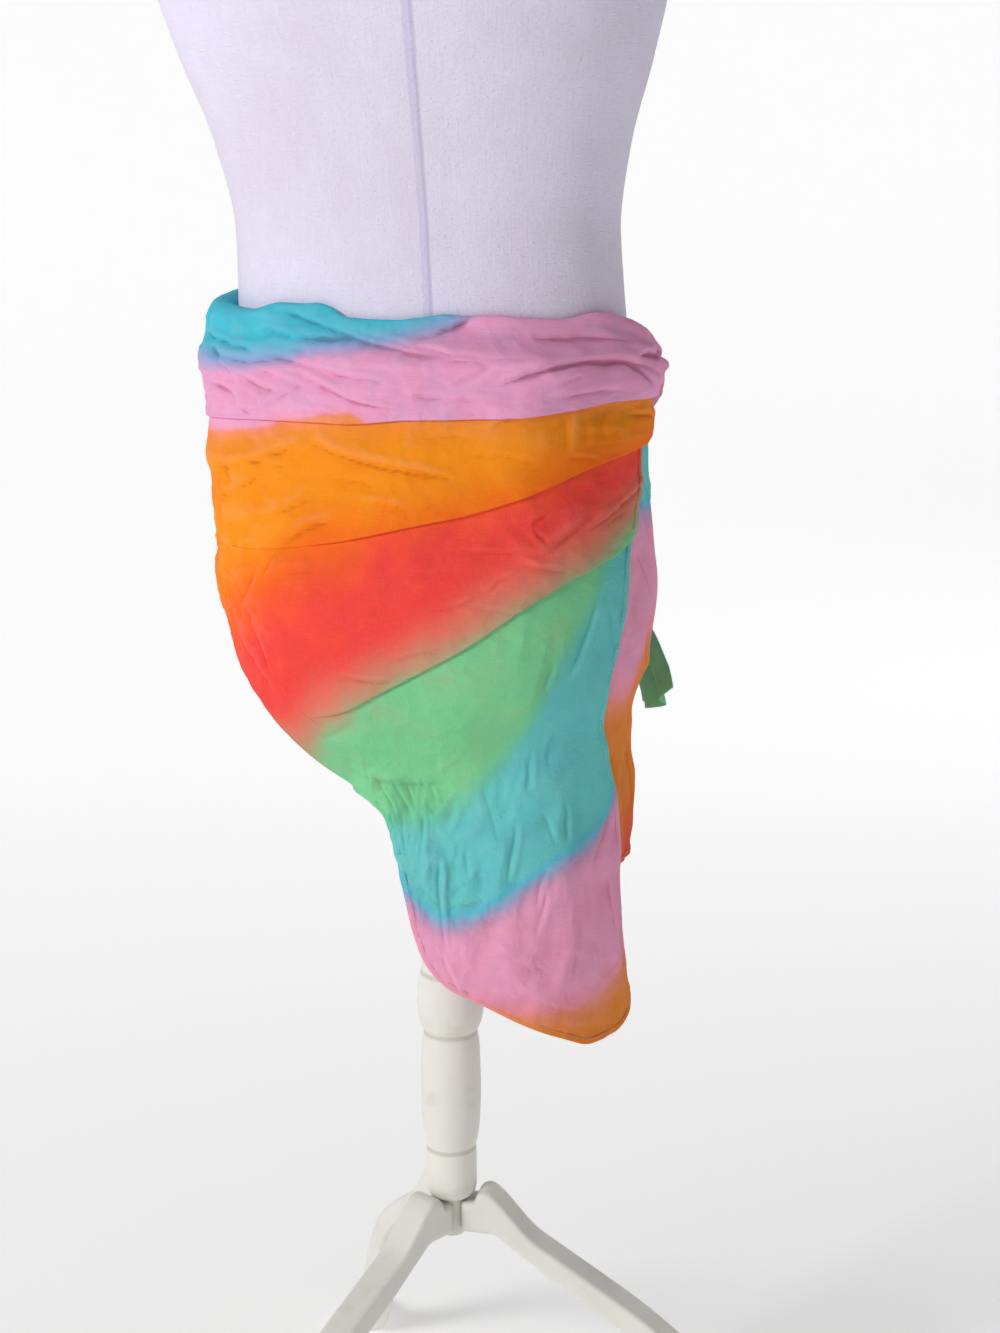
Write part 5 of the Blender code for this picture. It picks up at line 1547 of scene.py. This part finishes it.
def pale_floor():
    """Near-white matt paper, faintly mottled, that glows more the farther it lies behind the stand."""
    ground = Sketch("pale_floor", 0.9)
    where = ground.node("ShaderNodeTexCoord", output=3)
    mottle = ground.noise(where, 1.5, 3.0)
    ground.set_skin("Base Color", ground.blend(mottle * 0.2, paint(250, 250, 250), paint(246, 246, 246)))
    ground.set_skin("Specular IOR Level", 0.0)
    ahead = (-math.sin(CAMERA_AROUND), math.cos(CAMERA_AROUND), 0.0)
    away = ground.node("ShaderNodeVectorMath", {"operation": "DOT_PRODUCT"}, {0: where, 1: ahead}, 1)
    near = paint(255, 255, 255)[:3]
    dim = (*(GLOW_NEAR * part for part in near), 1.0)
    ground.set_skin("Emission Color", ground.blend(away.between(GLOW_FROM, GLOW_TO), dim, (*near, 1.0)))
    ground.set_skin("Emission Strength", SWEEP_GLOW)
    return ground.material


def make_sweep():
    """A ring of radius r rises by high x ((r - flat) / (wide - flat)) squared, outside the flat."""
    radius = np.linspace(SWEEP_WIDE, SWEEP_INNER, SWEEP_ROWS)[:, None]
    spin = np.radians(np.arange(SWEEP_COLUMNS) * 360.0 / SWEEP_COLUMNS)[None, :]
    rise = SWEEP_HIGH * np.clip((radius - SWEEP_FLAT) / (SWEEP_WIDE - SWEEP_FLAT), 0.0, 1.0) ** 2
    points = np.stack([radius * np.sin(spin), -radius * np.cos(spin), rise + 0.0 * spin - SWEEP_DROP],
                      axis=-1)
    rows, columns = points.shape[:2]
    faces, _counted, _down = grid_faces(rows, columns, True)
    middle = tuple(range((rows - 1) * columns, rows * columns))
    mesh = bpy.data.meshes.new("floor")
    mesh.from_pydata(points.reshape(-1, 3).tolist(), [], faces[:, ::-1].tolist() + [middle])
    mesh.polygons.foreach_set("use_smooth", np.ones(len(mesh.polygons), dtype=bool))
    mesh.materials.append(pale_floor())
    sweep = bpy.data.objects.new("floor", mesh)
    bpy.context.scene.collection.objects.link(sweep)
    return sweep


floor = make_sweep()
print("floor flat for", SWEEP_FLAT, "m round the stand, middle's normal",
      round(floor.data.polygons[-1].normal.z, 1))

# %% Riding, replacing, and each cloth piece's area against its flat cut
COTTON_PIECES = {
    roll_cloth: ["waist_roll"], hip_cloth: ["hip_fold"], seat_cloth: ["seat_fold"],
    fall_cloth: ["back_fall"], front_cloth: ["front_fall"], knot_core: ["knot"], knot_band: [],
    corner_long: ["tail_long"], corner_short: ["tail_short"], hem_back: [], hem_right: [],
    hem_seat: [], hem_front: [],
}
WOODEN_PIECES = {pole: ["stand_pole"], hub: ["stand_hub"], cap: ["form_neck_cap"],
                 **{leg: [node] for node, leg in legs.items()}}
for pieces, slot in ((COTTON_PIECES, "dyed_cotton"), (WOODEN_PIECES, "painted_wood"),
                     ({form_cover: ["form_body"]}, "jersey")):
    for piece, nodes in pieces.items():
        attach(piece, "root")
        if nodes:
            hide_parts(*nodes)

SHEETS = (
    (roll_cloth, (0.93, 0.120), "folded", ["hip_cloth"], [knot_core, knot_band]),
    (hip_cloth, (0.93, 0.090), "stretched", ["form_cover"], []),
    (seat_cloth, (0.50, 0.125), "stretched", ["form_cover"], [hem_seat]),
    (fall_cloth, (0.48, 0.200), "draped", ["form_cover"], [hem_back, hem_right]),
    (front_cloth, (0.52, 0.260), "draped", ["form_cover"], [hem_front]),
    (corner_long, (0.045, 0.220), "hung", ["knot_core"], []),
    (corner_short, (0.035, 0.115), "hung", ["knot_core"], []),
)
for piece, flat, held, rests_on, with_pieces in SHEETS:
    print(piece.name, "cut", flat, "is", round(area_of(piece) / (flat[0] * flat[1]), 2), "of its area")
